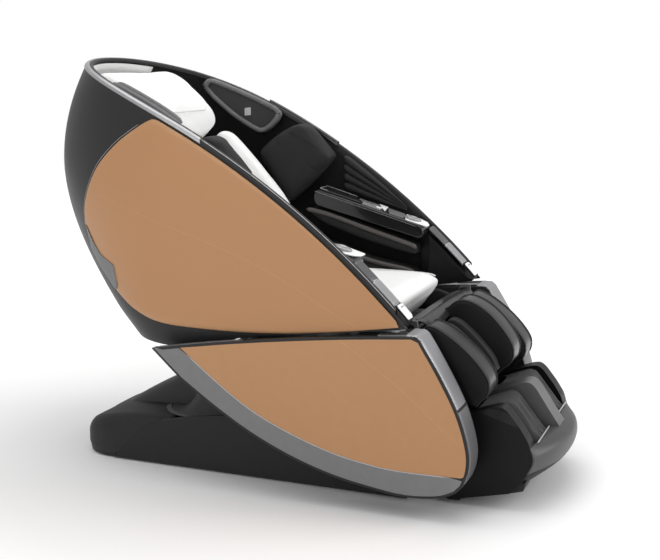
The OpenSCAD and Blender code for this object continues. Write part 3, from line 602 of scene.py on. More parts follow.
def buildRim():
    fine = girthSteps(44, 60)
    head = [g for g in fine if rimY(g) > rim["silverFrom"]]
    bright = sheetPiece("rimSilver", [rimRing(g, rim["silver"]) for g in head])
    cover(bright, "back", "rim_strip", slot="rim_silver", material=mats["rimSilver"])
    cover(sheetPiece("rimInner", [rimRing(g, rim["inner"]) for g in head]), "back", slot="shell_plastic",
          material=mats["shellBlack"])
    for label, side in (("Right", -1), ("Left", 1)):
        run = [g for g in fine if g * side > 0 and -390 < rimY(g) < rim["silverFrom"] + 14]
        cover(sheetPiece("rimArm" + label, [rimRing(g, rim["arm"]) for g in run]), "back", slot="shell_plastic",
              material=mats["shellBlack"])
        # A light bead along the black arm rim: a painted highlight
        line = [rimRing(g, [(-4.2, 1.4)])[0] for g in run]
        cover(cordPiece("rimArmHighlight" + label, line, 0.9, 6), "back", slot="rim_silver", material=mats["edgeHighlightAndChip"])
    # Black accent bar that stands on the left rim
    run = [g for g in fine if g > 0.3 and 52 < rimY(g) < 300]
    accent = sheetPiece("rimAccent", [rimRing(g, rim["accent"]) for g in run])
    cover(accent, "back", slot="console_black", material=mats["glossBlack"])


def alongRun(run, y):
    # Height of a [y, z] run at y, whichever way the run goes
    for (ya, za), (yb, zb) in zip(run, run[1:]):
        if min(ya, yb) <= y <= max(ya, yb):
            return za + (zb - za) * (y - ya) / ((yb - ya) or 1)
    return run[0][1] if abs(y - run[0][0]) < abs(y - run[-1][0]) else run[-1][1]


# Copper side panels of the cocoon
sidePanel = {"low": [(-385, 493), (-202, 464), (25, 443), (264, 444), (383, 467), (462, 508), (535, 573)],
             "rear": [(562, 617), (580, 690), (567, 758), (512, 850), (432, 923), (345, 977), (300, 997)],
             "rimGap": 18, "topFrom": 285, "topTo": -378, "thick": 5,
             "crease": [(419, 761), (21, 633), (-230, 505)], "creaseFall": 0.010, "edgeFall": 2.2}


def creaseDepth(y, z):
    line = sidePanel["crease"]
    slopeLine = spline(line, 8)
    best = 0
    for (ya, za), (yb, zb) in zip(slopeLine, slopeLine[1:]):
        lo, hi = min(ya, yb), max(ya, yb)
        if lo <= y <= hi:
            onLine = za + (zb - za) * (y - ya) / (yb - ya)
            best = max(0, onLine - z)
    if y > line[0][0]:
        best = max(0, line[0][1] + 0.33 * (y - line[0][0]) - z)
    return best * sidePanel["creaseFall"]


def ruledSide(lower, upper, columns, rowCount):
    a, b = resample(lower, columns), resample(upper, columns)
    return [[tuple(p + (q - p) * t for p, q in zip(pa, pb)) for t in (i / rowCount for i in range(rowCount + 1))]
            for pa, pb in zip(a, b)]


def panelGrid(side, rows, proud):
    # Lays a ruled [y, z] grid on the cocoon, with its border rolled inwards
    height, width = len(rows[0]) - 1, len(rows) - 1
    out = []
    for c, row in enumerate(rows):
        line = []
        for r, (y, z) in enumerate(row):
            edge = min(r, height - r, c, width - c)
            roll = sidePanel["edgeFall"] if edge == 0 else 0
            line.append((side * wallX(y, z, proud - creaseDepth(y, z) - roll), y, z))
        out.append(line)
    return out


def edgeRows(rows, gap):
    # Doubles the outermost rows so that the rolled border is only gap wide
    def pull(a, b, d):
        size = math.dist(a, b) or 1
        return tuple(p + (q - p) * min(0.45, d / size) for p, q in zip(a, b))
    wide = [[row[0], pull(row[0], row[1], gap)] + row[1:-1] + [pull(row[-1], row[-2], gap), row[-1]] for row in rows]
    first = [pull(a, b, gap) for a, b in zip(wide[0], wide[1])]
    last = [pull(a, b, gap) for a, b in zip(wide[-1], wide[-2])]
    return [wide[0], first] + wide[1:-1] + [last, wide[-1]]


def sidePanelRows():
    rimRun = [(sidePanel["topFrom"] + (sidePanel["topTo"] - sidePanel["topFrom"]) * i / 40,) for i in range(41)]
    rimRun = [(y, rimZ(y, sidePanel["rimGap"])) for (y,) in rimRun]
    lower = spline(sidePanel["low"] + sidePanel["rear"][:2], 8)
    upper = list(reversed(spline(sidePanel["rear"][1:], 8) + rimRun))
    return edgeRows(ruledSide(lower, upper, 110, 34), 2.5)


def buildSidePanel(name, side):
    rows = sidePanelRows()
    panel = sheetPiece(name, panelGrid(side, rows, 0))
    thicken(panel, sidePanel["thick"], -1)
    panel.data.materials.append(mats["copperLacquer"])
    panel.data.materials.append(mats["panelEdge"])
    node = "cocoon_panel_right" if side < 0 else "cocoon_panel_left"
    cover(panel, "back", node, slot="copper_panel")
    lower = spline(sidePanel["low"], 8)
    # The crease is drawn as a thin bead of lighter copper: a painted highlight along it
    crease = [(y, z) for y, z in spline([(575, 800)] + sidePanel["crease"] + [(-330, 462)], 12) if y < 530]
    crease = [(side * (wallX(y, z, -0.15)), y, z) for y, z in crease if alongRun(lower, y) + 6 < z < rimZ(y) - 20]
    cover(cordPiece(name + "Crease", crease, 0.4, 6), "back", slot="copper_panel", material=mats["copperCreaseHighlight"])
    # Thin bright bead along the panel's upper rear edge: a painted highlight on its bevel
    rear = [(side * wallX(y, z, -3.2), y, z)
            for y, z in spline([(584, 690), (571, 760), (515, 854), (435, 927), (347, 981)], 10)]
    cover(cordPiece(name + "Edge", rear, 1.3, 8), "back", slot="badge_gray", material=mats["badgeGray"])
    return panel


def buildBadges():
    plates = []
    for side in (-1, 1):
        ring = roundCorners([(578, 694), (566, 622), (532, 574), (468, 514), (457, 528), (462, 588), (520, 612),
                             (558, 656)], 6, 4)
        cy = sum(p[0] for p in ring) / len(ring)
        cz = sum(p[1] for p in ring) / len(ring)
        rows = [[(side * wallX(cy + (y - cy) * s, cz + (z - cz) * s, 0.9 if s < 1 else -1.5),
                  cy + (y - cy) * s, cz + (z - cz) * s) for y, z in ring] for s in (0.02, 0.3, 0.6, 0.85, 0.97, 1)]
        plates.append(sheetPiece("badgePlate" + ("R" if side < 0 else "L"), rows, wrapCols=True))
    return cover(joinPieces("badgePlates", plates), "back", "badge_plates", slot="badge_gray",
                 material=mats["badgeGray"])


buildShell()
buildLiner()
buildRim()
bothSides(buildSidePanel, "sidePanel")
buildBadges()
print("cocoon ready")


# Wings: black mouldings beside the seat, each with a copper panel, a gray band and a silver front
wing = {"face": -395.4, "base": -390, "shellFace": -394, "innerRear": 372, "innerFront": 300,
        "thinFrom": 60, "thickFrom": -300, "round": 6,
        "top": [(311, 381), (120, 414), (-72, 441), (-260, 463), (-425, 478)],
        "nose": [(-447, 470), (-500, 384), (-548, 292), (-575, 205), (-577, 150), (-563, 105)],
        "belly": [(-545, 86), (-500, 67), (-415, 58), (-320, 68), (-211, 88), (-95, 124), (18, 174), (125, 236),
                  (224, 303)],
        "bandEdge": [(214, 383), (120, 310), (17, 241), (-95, 190), (-211, 152), (-310, 133), (-401, 125),
                     (-556, 127)],
        "panelGap": 7, "crease": [(-238, 449), (-251, 442), (-398, 342), (-554, 209)],
        "frontSeamZ": 300}


def wingInner(y):
    t = (wing["thinFrom"] - y) / (wing["thinFrom"] - wing["thickFrom"])
    return wing["innerRear"] + (wing["innerFront"] - wing["innerRear"]) * max(0, min(1, t))


def sideFlip(side):
    # Shapes are made for the right (-X) and flipped for the left
    return lambda v: (-side * v[0], v[1], v[2])


def buildWingShell(name, side):
    outline = spline(wing["top"], 4) + spline(wing["nose"], 5) + spline(wing["belly"], 4)

    def taper(v):
        t = (v[0] + 395) / 95
        return -side * (-395 + t * (395 - wingInner(v[1]))), v[1], v[2]
    shell = platePiece(name, outline, wing["shellFace"], -300, wing["round"], 4, place=taper)
    node = "wing_shell_right" if side < 0 else "wing_shell_left"
    return cover(shell, "seat", node, slot="wing_black", material=mats["shellBlack"])


def wingInside():
    # The copper and gray faces fill the outline but for a narrow black border
    whole = spline(wing["top"], 4) + spline(wing["nose"], 5) + spline(wing["belly"], 4)
    return insetRing(whole, wing["panelGap"])


def splitAt(outline, above):
    # Keeps the points of a closed outline on one side of the band's edge
    edge = spline(wing["bandEdge"], 5)

    def height(y):
        for (ya, za), (yb, zb) in zip(edge, edge[1:]):
            if yb <= y <= ya:
                return za + (zb - za) * (ya - y) / max(1e-6, ya - yb)
        return edge[0][1] + (y - edge[0][0]) * 0.78 if y > edge[0][0] else edge[-1][1]
    return [p for p in outline if (p[1] > height(p[0]) + 2) == above], edge


def buildWingPanel(name, side):
    ring, edge = splitAt(wingInside(), True)
    ring = [p for p in ring if p[0] < 206]
    start = max(range(len(ring)), key=lambda i: ring[i][0])
    ring = ring[start:] + ring[:start]
    lifted = [(y, z + 1.5) for y, z in reversed(edge[1:])]
    panel = platePiece(name, [(223, 390.5)] + ring + lifted, wing["face"], wing["base"], 1.2, 3,
                       place=sideFlip(side))
    node = "wing_panel_right" if side < 0 else "wing_panel_left"
    cover(panel, "seat", node, slot="copper_panel", material=mats["copperLacquer"])
    # The crease is a thin bead of lighter copper: a painted highlight along it
    line = [(side * 395.1, y, z) for y, z in spline(wing["crease"], 8)]
    cover(cordPiece(name + "Crease", line, 0.55, 6), "seat", slot="copper_panel", material=mats["copperCreaseHighlight"])
    return panel


def buildWingBands():
    bands = []
    for side in (-1, 1):
        ring, edge = splitAt(wingInside(), False)
        start = min(range(len(ring)), key=lambda i: ring[i][0])
        ring = ring[start:] + ring[:start]
        bands.append(platePiece("wingBand" + str(side + 1), ring + edge[1:-1], wing["face"], wing["base"], 1.2, 3,
                                place=sideFlip(side)))
        # A light bead along the band's upper edge: a painted highlight on its bevel
        line = [(side * 395.2, y, z + 0.4) for y, z in edge[1:-1]]
        cover(cordPiece("wingBandEdgeHighlight" + ("Right" if side < 0 else "Left"), line, 1.2, 8), "seat",
              slot="wing_band", material=mats["edgeHighlightAndChip"])
    cover(joinPieces("wingBands", bands), "seat", "wing_bands", slot="wing_band", material=mats["bandGray"])


def buildWingFronts():
    # Crowned silver strip down the nose, in two lengths; the lower length, which curves under, takes a darker gray
    # copy of the silver as painted shade
    run = resample(spline([(-404, 479), (-425, 478)] + wing["nose"], 6), 60)
    strips = {"upper": [], "lower": []}
    for side in (-1, 1):
        for part, keep in (("upper", lambda z: z > wing["frontSeamZ"] - 1),
                           ("lower", lambda z: z < wing["frontSeamZ"] - 2)):
            rows = []
            for i in range(1, len(run) - 1):
                if not keep(run[i][1]):
                    continue
                (ya, za), (yb, zb) = run[i - 1], run[i + 1]
                size = math.dist((ya, za), (yb, zb)) or 1
                ny, nz = (zb - za) / size, (ya - yb) / size
                row = []
                for k in range(13):
                    x = -391 + 88 * k / 12
                    lift = 1.6 * (1 - (2 * k / 12 - 1) ** 4) + 0.6 - (1.8 if k in (0, 12) else 0)
                    row.append((-side * x, run[i][0] + ny * lift, run[i][1] + nz * lift))
                rows.append(row)
            strip = sheetPiece("wingFront" + part + str(side + 1), rows)
            strips[part].append(strip)
    cover(joinPieces("wingFrontUpper", strips["upper"]), "seat", "wing_fronts", slot="wing_front",
          material=mats["frontSilver"])
    cover(joinPieces("wingFrontLower", strips["lower"]), "seat", slot="wing_front", material=mats["frontSilverPaintedShade"])


ledge = {"lift": 1.2, "tailTo": 40, "slot": {"y": (-412, -338), "x": (-386, -356)}}


def wingTopZ(y):
    run = spline(wing["top"], 6)
    for (ya, za), (yb, zb) in zip(run, run[1:]):
        if yb <= y <= ya:
            return za + (zb - za) * (ya - y) / (ya - yb)
    return wing["top"][-1][1]


def buildWingLedge(name, side):
    # A thin cap over the top of the wing, light at the tail and glossy forward
    def cap(label, y0, y1, mat):
        rows = []
        for i in range(25):
            y = y0 + (y1 - y0) * i / 24
            inner = wingInner(y) + 3
            edge = 1.4 if i in (0, 24) else 0
            rows.append([(-side * (-391.5 + (391.5 - inner) * k / 8), y,
                          wingTopZ(y) + ledge["lift"] - edge - (1.4 if k in (0, 8) else 0)) for k in range(9)])
        cover(sheetPiece(name + label, rows), "seat", slot="wing_band", material=mats[mat])
    cap("Tail", 303, ledge["tailTo"], "bandGray")
    cap("Fore", ledge["tailTo"] - 3, -420, "glossBlack")
    (y0, y1), (x0, x1) = ledge["slot"]["y"], ledge["slot"]["x"]
    ring = roundCorners([(x0, y0), (x1, y0), (x1, y1), (x0, y1)], 5, 4)

    def lay(v):
        return -side * v[1], v[2], wingTopZ(v[2]) + ledge["lift"] + v[0]
    cover(slabPiece(name + "Frame", insetRing(ring, -4), -1, 0.7, 0.6, steps=2, place=lay), "seat",
          slot="wing_band", material=mats["bandGray"])
    cover(slabPiece(name + "Slot", ring, -0.5, 1.0, 0.3, steps=2, place=lay), "seat", slot="wing_black",
          material=mats["meshDark"])


for label, side in (("Right", -1), ("Left", 1)):
    buildWingShell("wingShell" + label, side)
    buildWingPanel("wingPanel" + label, side)
    buildWingLedge("wingLedge" + label, side)
buildWingBands()
buildWingFronts()
print("wings ready")


# The base: side covers, rear bumper, and the humped cover with its bowls
base = {"halfWidth": 270, "rear": 652, "corner": 110, "bottom": 5, "shoulder": 26, "tuck": 0.993,
        "coverTop": [(-372, 96), (-300, 150), (-120, 176), (60, 178), (176, 169), (281, 151), (379, 127), (430, 97),
                     (478, 50), (520, 5)],
        "bumperTop": [(330, 136), (400, 140), (500, 134), (590, 114), (636, 84), (654, 58)],
        "crest": [(636, 92), (600, 106), (530, 150), (455, 190), (380, 226), (300, 244), (210, 242), (140, 222)]}


def buildSideCover(name, side):
    outline = spline(base["coverTop"], 5) + [(-380, 5)]
    plate = platePiece(name, outline, -270, -255, 4, 4, place=sideFlip(side))
    node = "side_cover_right" if side < 0 else "side_cover_left"
    cover(plate, "base", node, slot="cover_plastic", material=mats["baseCharcoal"])
    # A lighter charcoal bead along the cover's top edge: a painted highlight
    highlightBead = [(side * 267.6, y - 0.5, z - 2.6) for y, z in spline(base["coverTop"][2:], 6)]
    cover(cordPiece(name + "Lip", highlightBead, 2.4, 8), "base", slot="cover_plastic", material=mats["bowlCharcoal"])
    return plate


def bumperDepth(x, y):
    # Distance in from the bumper's plan outline
    r = base["corner"]
    qx, qy = abs(x) - (base["halfWidth"] - r), y - (base["rear"] - r)
    if qx > 0 and qy > 0:
        return r - math.hypot(qx, qy)
    return min(base["halfWidth"] - abs(x), base["rear"] - y)


def buildBumper():
    r, w, rear = base["corner"], base["halfWidth"], base["rear"]
    plan = [(-w, 336 + (rear - r - 336) * i / 14) for i in range(14)]
    plan += [(-(w - r) + r * math.cos(a), rear - r + r * math.sin(a)) for a in
             (math.pi - math.pi / 2 * i / 14 for i in range(14))]
    plan += [(-(w - r) + 2 * (w - r) * i / 24, rear) for i in range(13)]
    plan += [(-x, y) for x, y in reversed(plan[:-1])]
    top = spline(base["bumperTop"], 6)
    rows = [[(x * 0.98, 336 + (y - 336) * 0.985, base["bottom"]) for x, y in plan],
            [(x * base["tuck"], y, 30) for x, y in plan]]
    for s in (1, 0.997, 0.99, 0.98, 0.965, 0.945, 0.92, 0.88, 0.82, 0.74, 0.6, 0.45):
        row = []
        for x, y in plan:
            px, py = x * s, 336 + (y - 336) * s
            d = min(base["shoulder"], max(0, bumperDepth(px, py)))
            fall = base["shoulder"] - math.sqrt(base["shoulder"] ** 2 - (base["shoulder"] - d) ** 2)
            row.append((px * base["tuck"], py, max(32, alongRun(top, py) - fall)))
        rows.append(row)
    shell = sheetPiece("bumperShell", rows)
    thicken(shell, 4, -1)
    cover(shell, "base", "rear_bumper", slot="bumper_plastic", material=mats["baseCharcoal"])


def buildHump():
    crest = spline(list(reversed(base["crest"])), 5)
    low = spline([(140, 66), (330, 100), (500, 84), (636, 60)], 6)
    rows = []
    for i in range(45):
        y = 141 + (634 - 141) * i / 44
        top, foot = alongRun(crest, y), alongRun(low, y)
        row = []
        for k in range(41):
            a = math.pi * k / 40
            x = 131 * math.copysign(abs(math.cos(a)) ** 0.62, math.cos(a))
            row.append((x, y, foot + (top - foot) * max(0, math.sin(a)) ** 0.62))
        rows.append(row)
    dome = sheetPiece("humpDome", rows)
    thicken(dome, 4, -1)
    cover(dome, "base", "hump_cover", slot="hump_plastic", material=mats["bowlCharcoal"])
    # Dark cap in front of the crest
    cap = []
    for i in range(15):
        y = 292 - 140 * i / 14
        top = alongRun(crest, y)
        cap.append([(96 * (k / 6 - 1), y, top + 1.6 - 7 * abs(k / 6 - 1) ** 3 - (2.6 if i in (0, 14) else 0))
                    for k in range(13)])
    cover(sheetPiece("humpCap", cap), "base", slot="bumper_plastic", material=mats["baseCharcoal"])


def buildBowl(name, side):
    # Dished shoulder between the hump and the side cover, with a rolled edge
    skirt = spline([(142, 168), (180, 160), (250, 150), (332, 143), (412, 142)], 6)
    edge, rows = [], []
    for i in range(25):
        a = math.pi / 2 * i / 24
        row = []
        for k in range(15):
            r = k / 14
            x = 131 + 130 * r * math.sin(a)
            y = 142 + 270 * r * math.cos(a)
            u = (x - 131) / 130
            wall = 206 + 24 * (y - 142) / 190 if y < 290 else 225 - (y - 290) * 1.6
            z = alongRun(skirt, y) + (max(wall, alongRun(skirt, y)) - alongRun(skirt, y)) * (1 - u) ** 3.2
            row.append((side * x, y, z - (2.5 if k == 14 else 0)))
        rows.append(row)
        edge.append((row[13][0], row[13][1], row[13][2] - 0.5))
    dish = sheetPiece(name, rows)
    thicken(dish, 2.5, -1)
    cover(dish, "base", slot="hump_plastic", material=mats["bowlGray"])
    cover(cordPiece(name + "Edge", edge, 2.6, 8), "base", slot="hump_plastic", material=mats["bowlCharcoal"])


bothSides(buildSideCover, "baseCover")
buildBumper()
buildHump()
bothSides(buildBowl, "baseBowl")
print("base ready")


# The leg unit: three calf lobes and the foot box
leg = {"pivot": (-385, 470), "angle": 38.3, "halfWidth": 262}


def onLeg(v, u):
    # v runs down the lower leg from its pivot, u stands out of it
    a = math.radians(leg["angle"])
    y, z = leg["pivot"]
    return y - math.sin(a) * v - math.cos(a) * u, z - math.cos(a) * v + math.sin(a) * u


lobes = {"side": ([(40, 2), (22, 20), (26, 40), (60, 60), (120, 78), (180, 86), (225, 82)],
                  [(250, 62), (254, 40), (240, 2)]),
         "middle": ([(30, 2), (14, 40), (16, 72), (40, 98), (90, 118), (150, 124), (200, 118)],
                    [(228, 94), (232, 60), (222, 2)]),
         "round": 9, "crown": 7, "piping": 2.3}


def buildLobe(name, kind, x0, x1, node):
    upper, lower = lobes[kind]
    local = spline(upper + lower, 6, closed=True)
    outline = [onLeg(v, u) for v, u in local]
    outline = resample(outline + [outline[0]], 97)[:-1]
    pad = slabPiece(name, outline, x0, x1, lobes["round"], lobes["crown"], 5)
    addModifier(pad, "SUBSURF", levels=1, render_levels=1)
    cover(pad, "leg", node, slot="calf_leather", material=mats["leatherBlack"])
    # Piping along both edges of the glossy outer band, with a second row inside the first
    arc = [onLeg(v, u) for v, u in local if u > 10]
    arc = resample(arc, 90)
    for label, x, grow in (("A", x0 + 5, 0.4), ("B", x1 - 5, 0.4), ("C", x0 + 17, 0.2), ("D", x1 - 17, 0.2)):
        middleY = sum(p[0] for p in arc) / len(arc)
        middleZ = sum(p[1] for p in arc) / len(arc)
        run = [(x, y + (y - middleY) * 0.012 * grow, z + (z - middleZ) * 0.012 * grow) for y, z in arc]
        radius = lobes["piping"] if label in "AB" else 1.1
        cover(cordPiece(name + "Piping" + label, run, radius, 8), "leg", slot="calf_leather",
              material=mats["leatherPiping"])
    # Glossy outer band
    band = []
    for y, z in arc[2:-2]:
        size = math.dist((y, z), (middleY, middleZ)) or 1
        ny, nz = (y - middleY) / size, (z - middleZ) / size
        band.append([(x0 + 7 + (x1 - x0 - 14) * k / 8, y + ny * (1.6 * math.sin(math.pi * k / 8) + 0.2),
                      z + nz * (1.6 * math.sin(math.pi * k / 8) + 0.2)) for k in range(9)])
    cover(sheetPiece(name + "Band", band), "leg", slot="calf_leather", material=mats["leatherGloss"])
    return pad


buildLobe("calfLobeRight", "side", -262, -166, "calf_lobe_right")
buildLobe("calfLobeMiddle", "middle", -48, 48, "calf_lobe_middle")
buildLobe("calfLobeLeft", "side", 166, 262, "calf_lobe_left")


# Bellows-like inner airbags between the lobes
def buildCalfBellows(name, x0, x1):
    local = spline([(52, 2), (40, 30), (60, 52), (120, 66), (190, 70), (226, 60)], 4) + [(236, 2)]
    outline = [onLeg(v, u) for v, u in local]
    bag = slabPiece(name, outline, x0, x1, 7, 3, 4)
    cover(bag, "leg", slot="calf_leather", material=mats["bagFabric"])


for label, x0, x1 in (("A", -163, -128), ("B", -88, -52), ("C", 52, 88), ("D", 128, 163)):
    buildCalfBellows("calfBellows" + label, x0, x1)

foot = {"halfWidth": 246, "wellIn": 34, "wellOut": 200, "heelU": -142, "toeU": 84,
        "wellFloor": 443,
        "wall": [(-484, 8), (-446, 70), (-414, 162), (-428, 192), (-455, 208), (-506, 236), (-560, 258), (-606, 275),
                 (-624, 277), (-640, 266), (-672, 226), (-694, 192)],
        "ridge": [(-430, 150), (-440, 196), (-506, 240), (-580, 268), (-634, 289), (-652, 289), (-668, 274),
                  (-700, 226), (-726, 188), (-738, 172), (-724, 120), (-600, 40), (-470, 40)],
        "front": [(-704, 166), (-712, 175), (-730, 177), (-750, 173), (-764, 163), (-770, 146), (-768, 126),
                  (-760, 108), (-747, 92), (-728, 78), (-706, 66), (-682, 56), (-660, 49)],
        "side": [(-696, 176), (-700, 172), (-703, 164), (-706, 154), (-708, 144), (-706, 132), (-700, 118),
                 (-692, 104), (-683, 90), (-673, 76), (-664, 64), (-656, 54), (-650, 48)],
        "chinRow": 7}


def buildFootWalls():
    walls = []
    for side in (-1, 1):
        ring = roundCorners(foot["wall"] + foot["side"][1::2] + [(-650, 48)], 10, 4)
        walls.append(platePiece("footWall" + str(side + 1), ring, -246, -199, 11, 5, place=sideFlip(side)))
    sill = roundCorners([(-484, 8), (-446, 70), (-414, 162), (-428, 190), (-462, 190), (-470, 60), (-520, 8)], 6, 3)
    walls.append(platePiece("footHeel", sill, -240, 240, 4, 3))
    floorRing = [(-484, 8), (-476, 40), (-640, 74), (-690, 80), (-684, 56), (-660, 49)]
    walls.append(platePiece("footFloor", floorRing, -240, 240, 3, 2))
    cover(joinPieces("footWalls", walls), "foot", "foot_box", slot="foot_plastic", material=mats["footBlack"])


def buildFootRidge():
    ring = roundCorners(foot["ridge"], 10, 4)
    ridge = platePiece("footRidge", ring, -foot["wellIn"], foot["wellIn"], 12, 6)
    cover(ridge, "foot", slot="foot_plastic", material=mats["footSilver"])


def buildFootFront():
    # The front's section changes from the middle to the side walls
    middle, edge = spline(foot["front"], 4), spline(foot["side"], 4)
    columns = [-244 + 488 * i / 60 for i in range(61)]
    rows = []
    for (ym, zm), (ye, ze) in zip(middle, edge):
        row = []
        for x in columns:
            w = (abs(x) / 244) ** 2.1
            row.append((x, ym + (ye - ym) * w, zm + (ze - zm) * w))
        rows.append(row)
    split = foot["chinRow"] * 4 + 1
    band = sheetPiece("footBand", rows[:split])
    thicken(band, 3, -1)
    cover(band, "foot", slot="foot_plastic", material=mats["footFront"])
    chin = sheetPiece("footChin", rows[split - 1:])
    thicken(chin, 3, -1)
    cover(chin, "foot", slot="foot_plastic", material=mats["footBlack"])


def buildFootLiner(name, side):
    # Gathered fabric: a tapering tube whose folds run down into the well
    rows = []
    x0, x1 = foot["wellIn"] + 2, foot["wellOut"] - 2
    for i in range(22):
        t = i / 21
        v = 150 + (foot["wellFloor"] - 150) * t
        pinch = 10 * t ** 1.5 + 8 * math.sin(math.pi * t)
        near, far = foot["heelU"] + 4 + pinch, foot["toeU"] - 2 - pinch
        row = []
        for k in range(96):
            a = 2 * math.pi * k / 96
            cx, cu = math.cos(a), math.sin(a)
            grow = (abs(cx) ** 5 + abs(cu) ** 5) ** -0.2
            fold = (2.2 * math.sin(17 * a + 2.1 * math.sin(2 * a)) + 1.2 * math.sin(29 * a)) * (0.15 + t) * 1.1
            x = (x0 + x1) / 2 + ((x1 - x0) / 2 - pinch * 0.5 - 1) * cx * grow + fold * cx
            u = (near + far) / 2 + (far - near) / 2 * cu * grow + fold * cu
            y, z = onLeg(v, u)
            wallTop = alongRun(foot["wall"][2:12], y) - 5
            if z > wallTop:
                z = wallTop - (z - wallTop) * 0.02
            row.append((side * x, y, z))
        rows.append(row)
    tube = sheetPiece(name, rows, wrapCols=True)
    last = rows[-1]
    bottomY = sum(p[1] for p in last) / 96
    bottomZ = sum(p[2] for p in last) / 96
    sole = []
    for s in (1, 0.8, 0.55, 0.3, 0.05):
        sole.append([(side * (x0 + x1) / 2 + (p[0] - side * (x0 + x1) / 2) * s, bottomY + (p[1] - bottomY) * s,
                      bottomZ + (p[2] - bottomZ) * s) for p in last])
    floorPad = sheetPiece(name + "Sole", sole, wrapCols=True)
    liner = joinPieces(name, [tube, floorPad])
    addModifier(liner, "SUBSURF", levels=1, render_levels=1)
    return liner


linerPair = bothSides(buildFootLiner, "footLiner")
cover(joinPieces("footLiners", linerPair), "foot", "foot_liner", slot="foot_fabric", material=mats["gathered"])
buildFootWalls()
buildFootRidge()
buildFootFront()
# Bright bead at the front of each well: a painted highlight along its lip
for label, x0, x1 in (("Right", -198, -38), ("Left", 38, 198)):
    highlightBead = [(x0 + (x1 - x0) * i / 12, -709 + 0.3 * math.sin(math.pi * i / 12), 177.5) for i in range(13)]
    cover(cordPiece("footLipHighlight" + label, highlightBead, 2.2, 8), "foot", slot="foot_plastic", material=mats["edgeHighlightAndChip"])
print("leg unit ready")


# Soft flap that bridges the seat and the leg unit
def buildKneeFlap():
    rows = []
    for i in range(13):
        x = -232 + 464 * i / 12
        run = spline([(-352, 470), (-378, 480), (-396, 484), (-414, 478), (-428, 462), onLeg(34, 12)], 4)
        rows.append([(x, y, z - 3 * (x / 232) ** 2) for y, z in run])
    flap = sheetPiece("kneeFlap", rows)
    thicken(flap, 3, -1)
    flap.data.materials.clear()
    flap.data.materials.append(mats["leatherGloss"])
    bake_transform(flap)


buildKneeFlap()
print("knee flap ready")


# Fittings along the inside walls: speaker pods, airbags, ribs, arm fronts and consoles
back = {"angle": 42, "foot": (75, 545)}


def onBack(s, u):
    # s runs up the back from its foot, u stands out of it towards the sitter
    a = math.radians(back["angle"])
    y, z = back["foot"]
    return y + math.sin(a) * s - math.cos(a) * u, z + math.cos(a) * s + math.sin(a) * u


pod = {"outline": ([(500, 1068), (484, 1086), (455, 1082), (350, 1040), (262, 998), (244, 980), (250, 960)],
                   [(272, 936), (296, 922), (325, 928), (400, 975), (470, 1035)]),
       "centre": (370, 1008), "turn": 13, "pivot": (-346, 244),
       "chip": [(341, 975), (361, 973), (361, 997), (341, 999)]}


def podPlace(side):
    a = math.radians(pod["turn"])
    px, py = pod["pivot"]

    def place(v):
        y = v[1] - py
        x = px + v[0] * math.cos(a) + y * math.sin(a)
        return -side * x, py - v[0] * math.sin(a) + y * math.cos(a), v[2]
    return place


def scaled(outline, centre, k):
    return [(centre[0] + (y - centre[0]) * k, centre[1] + (z - centre[1]) * k) for y, z in outline]


def buildPods():
    shells, grilles = [], []
    outline = spline(pod["outline"][0], 5) + spline(pod["outline"][1], 5)
    for side in (-1, 1):
        place = podPlace(side)
        shells.append(slabPiece("podShell" + str(side + 1), outline, 1, 25, 8, steps=5, place=place))
        ring = [place((26, y, z)) for y, z in scaled(outline, pod["centre"], 0.915)]
        shells.append(cordPiece("podRing" + str(side + 1), ring, 8, 10, closed=True))
        grilles.append(slabPiece("podGrille" + str(side + 1), scaled(outline, pod["centre"], 0.85), 24, 27, 2,
                                 3, 3, place=place))
        chip = roundCorners(pod["chip"], 3, 3)
        cover(slabPiece("podChip" + ("Right" if side < 0 else "Left"), chip, 27, 31.5, 0.8, steps=2, place=place),
              "back", slot="badge_gray", material=mats["edgeHighlightAndChip"])
    cover(joinPieces("speakerPods", shells), "back", "speaker_pods", slot="pod_gray", material=mats["podGray"])
    cover(joinPieces("speakerGrilles", grilles), "back", "speaker_grilles", slot="grille_mesh",
          material=mats["meshDark"])


buildPods()


puffing = {"frames": 20, "quality": 4, "mass": 0.3, "stiffness": 30, "bending": 2}


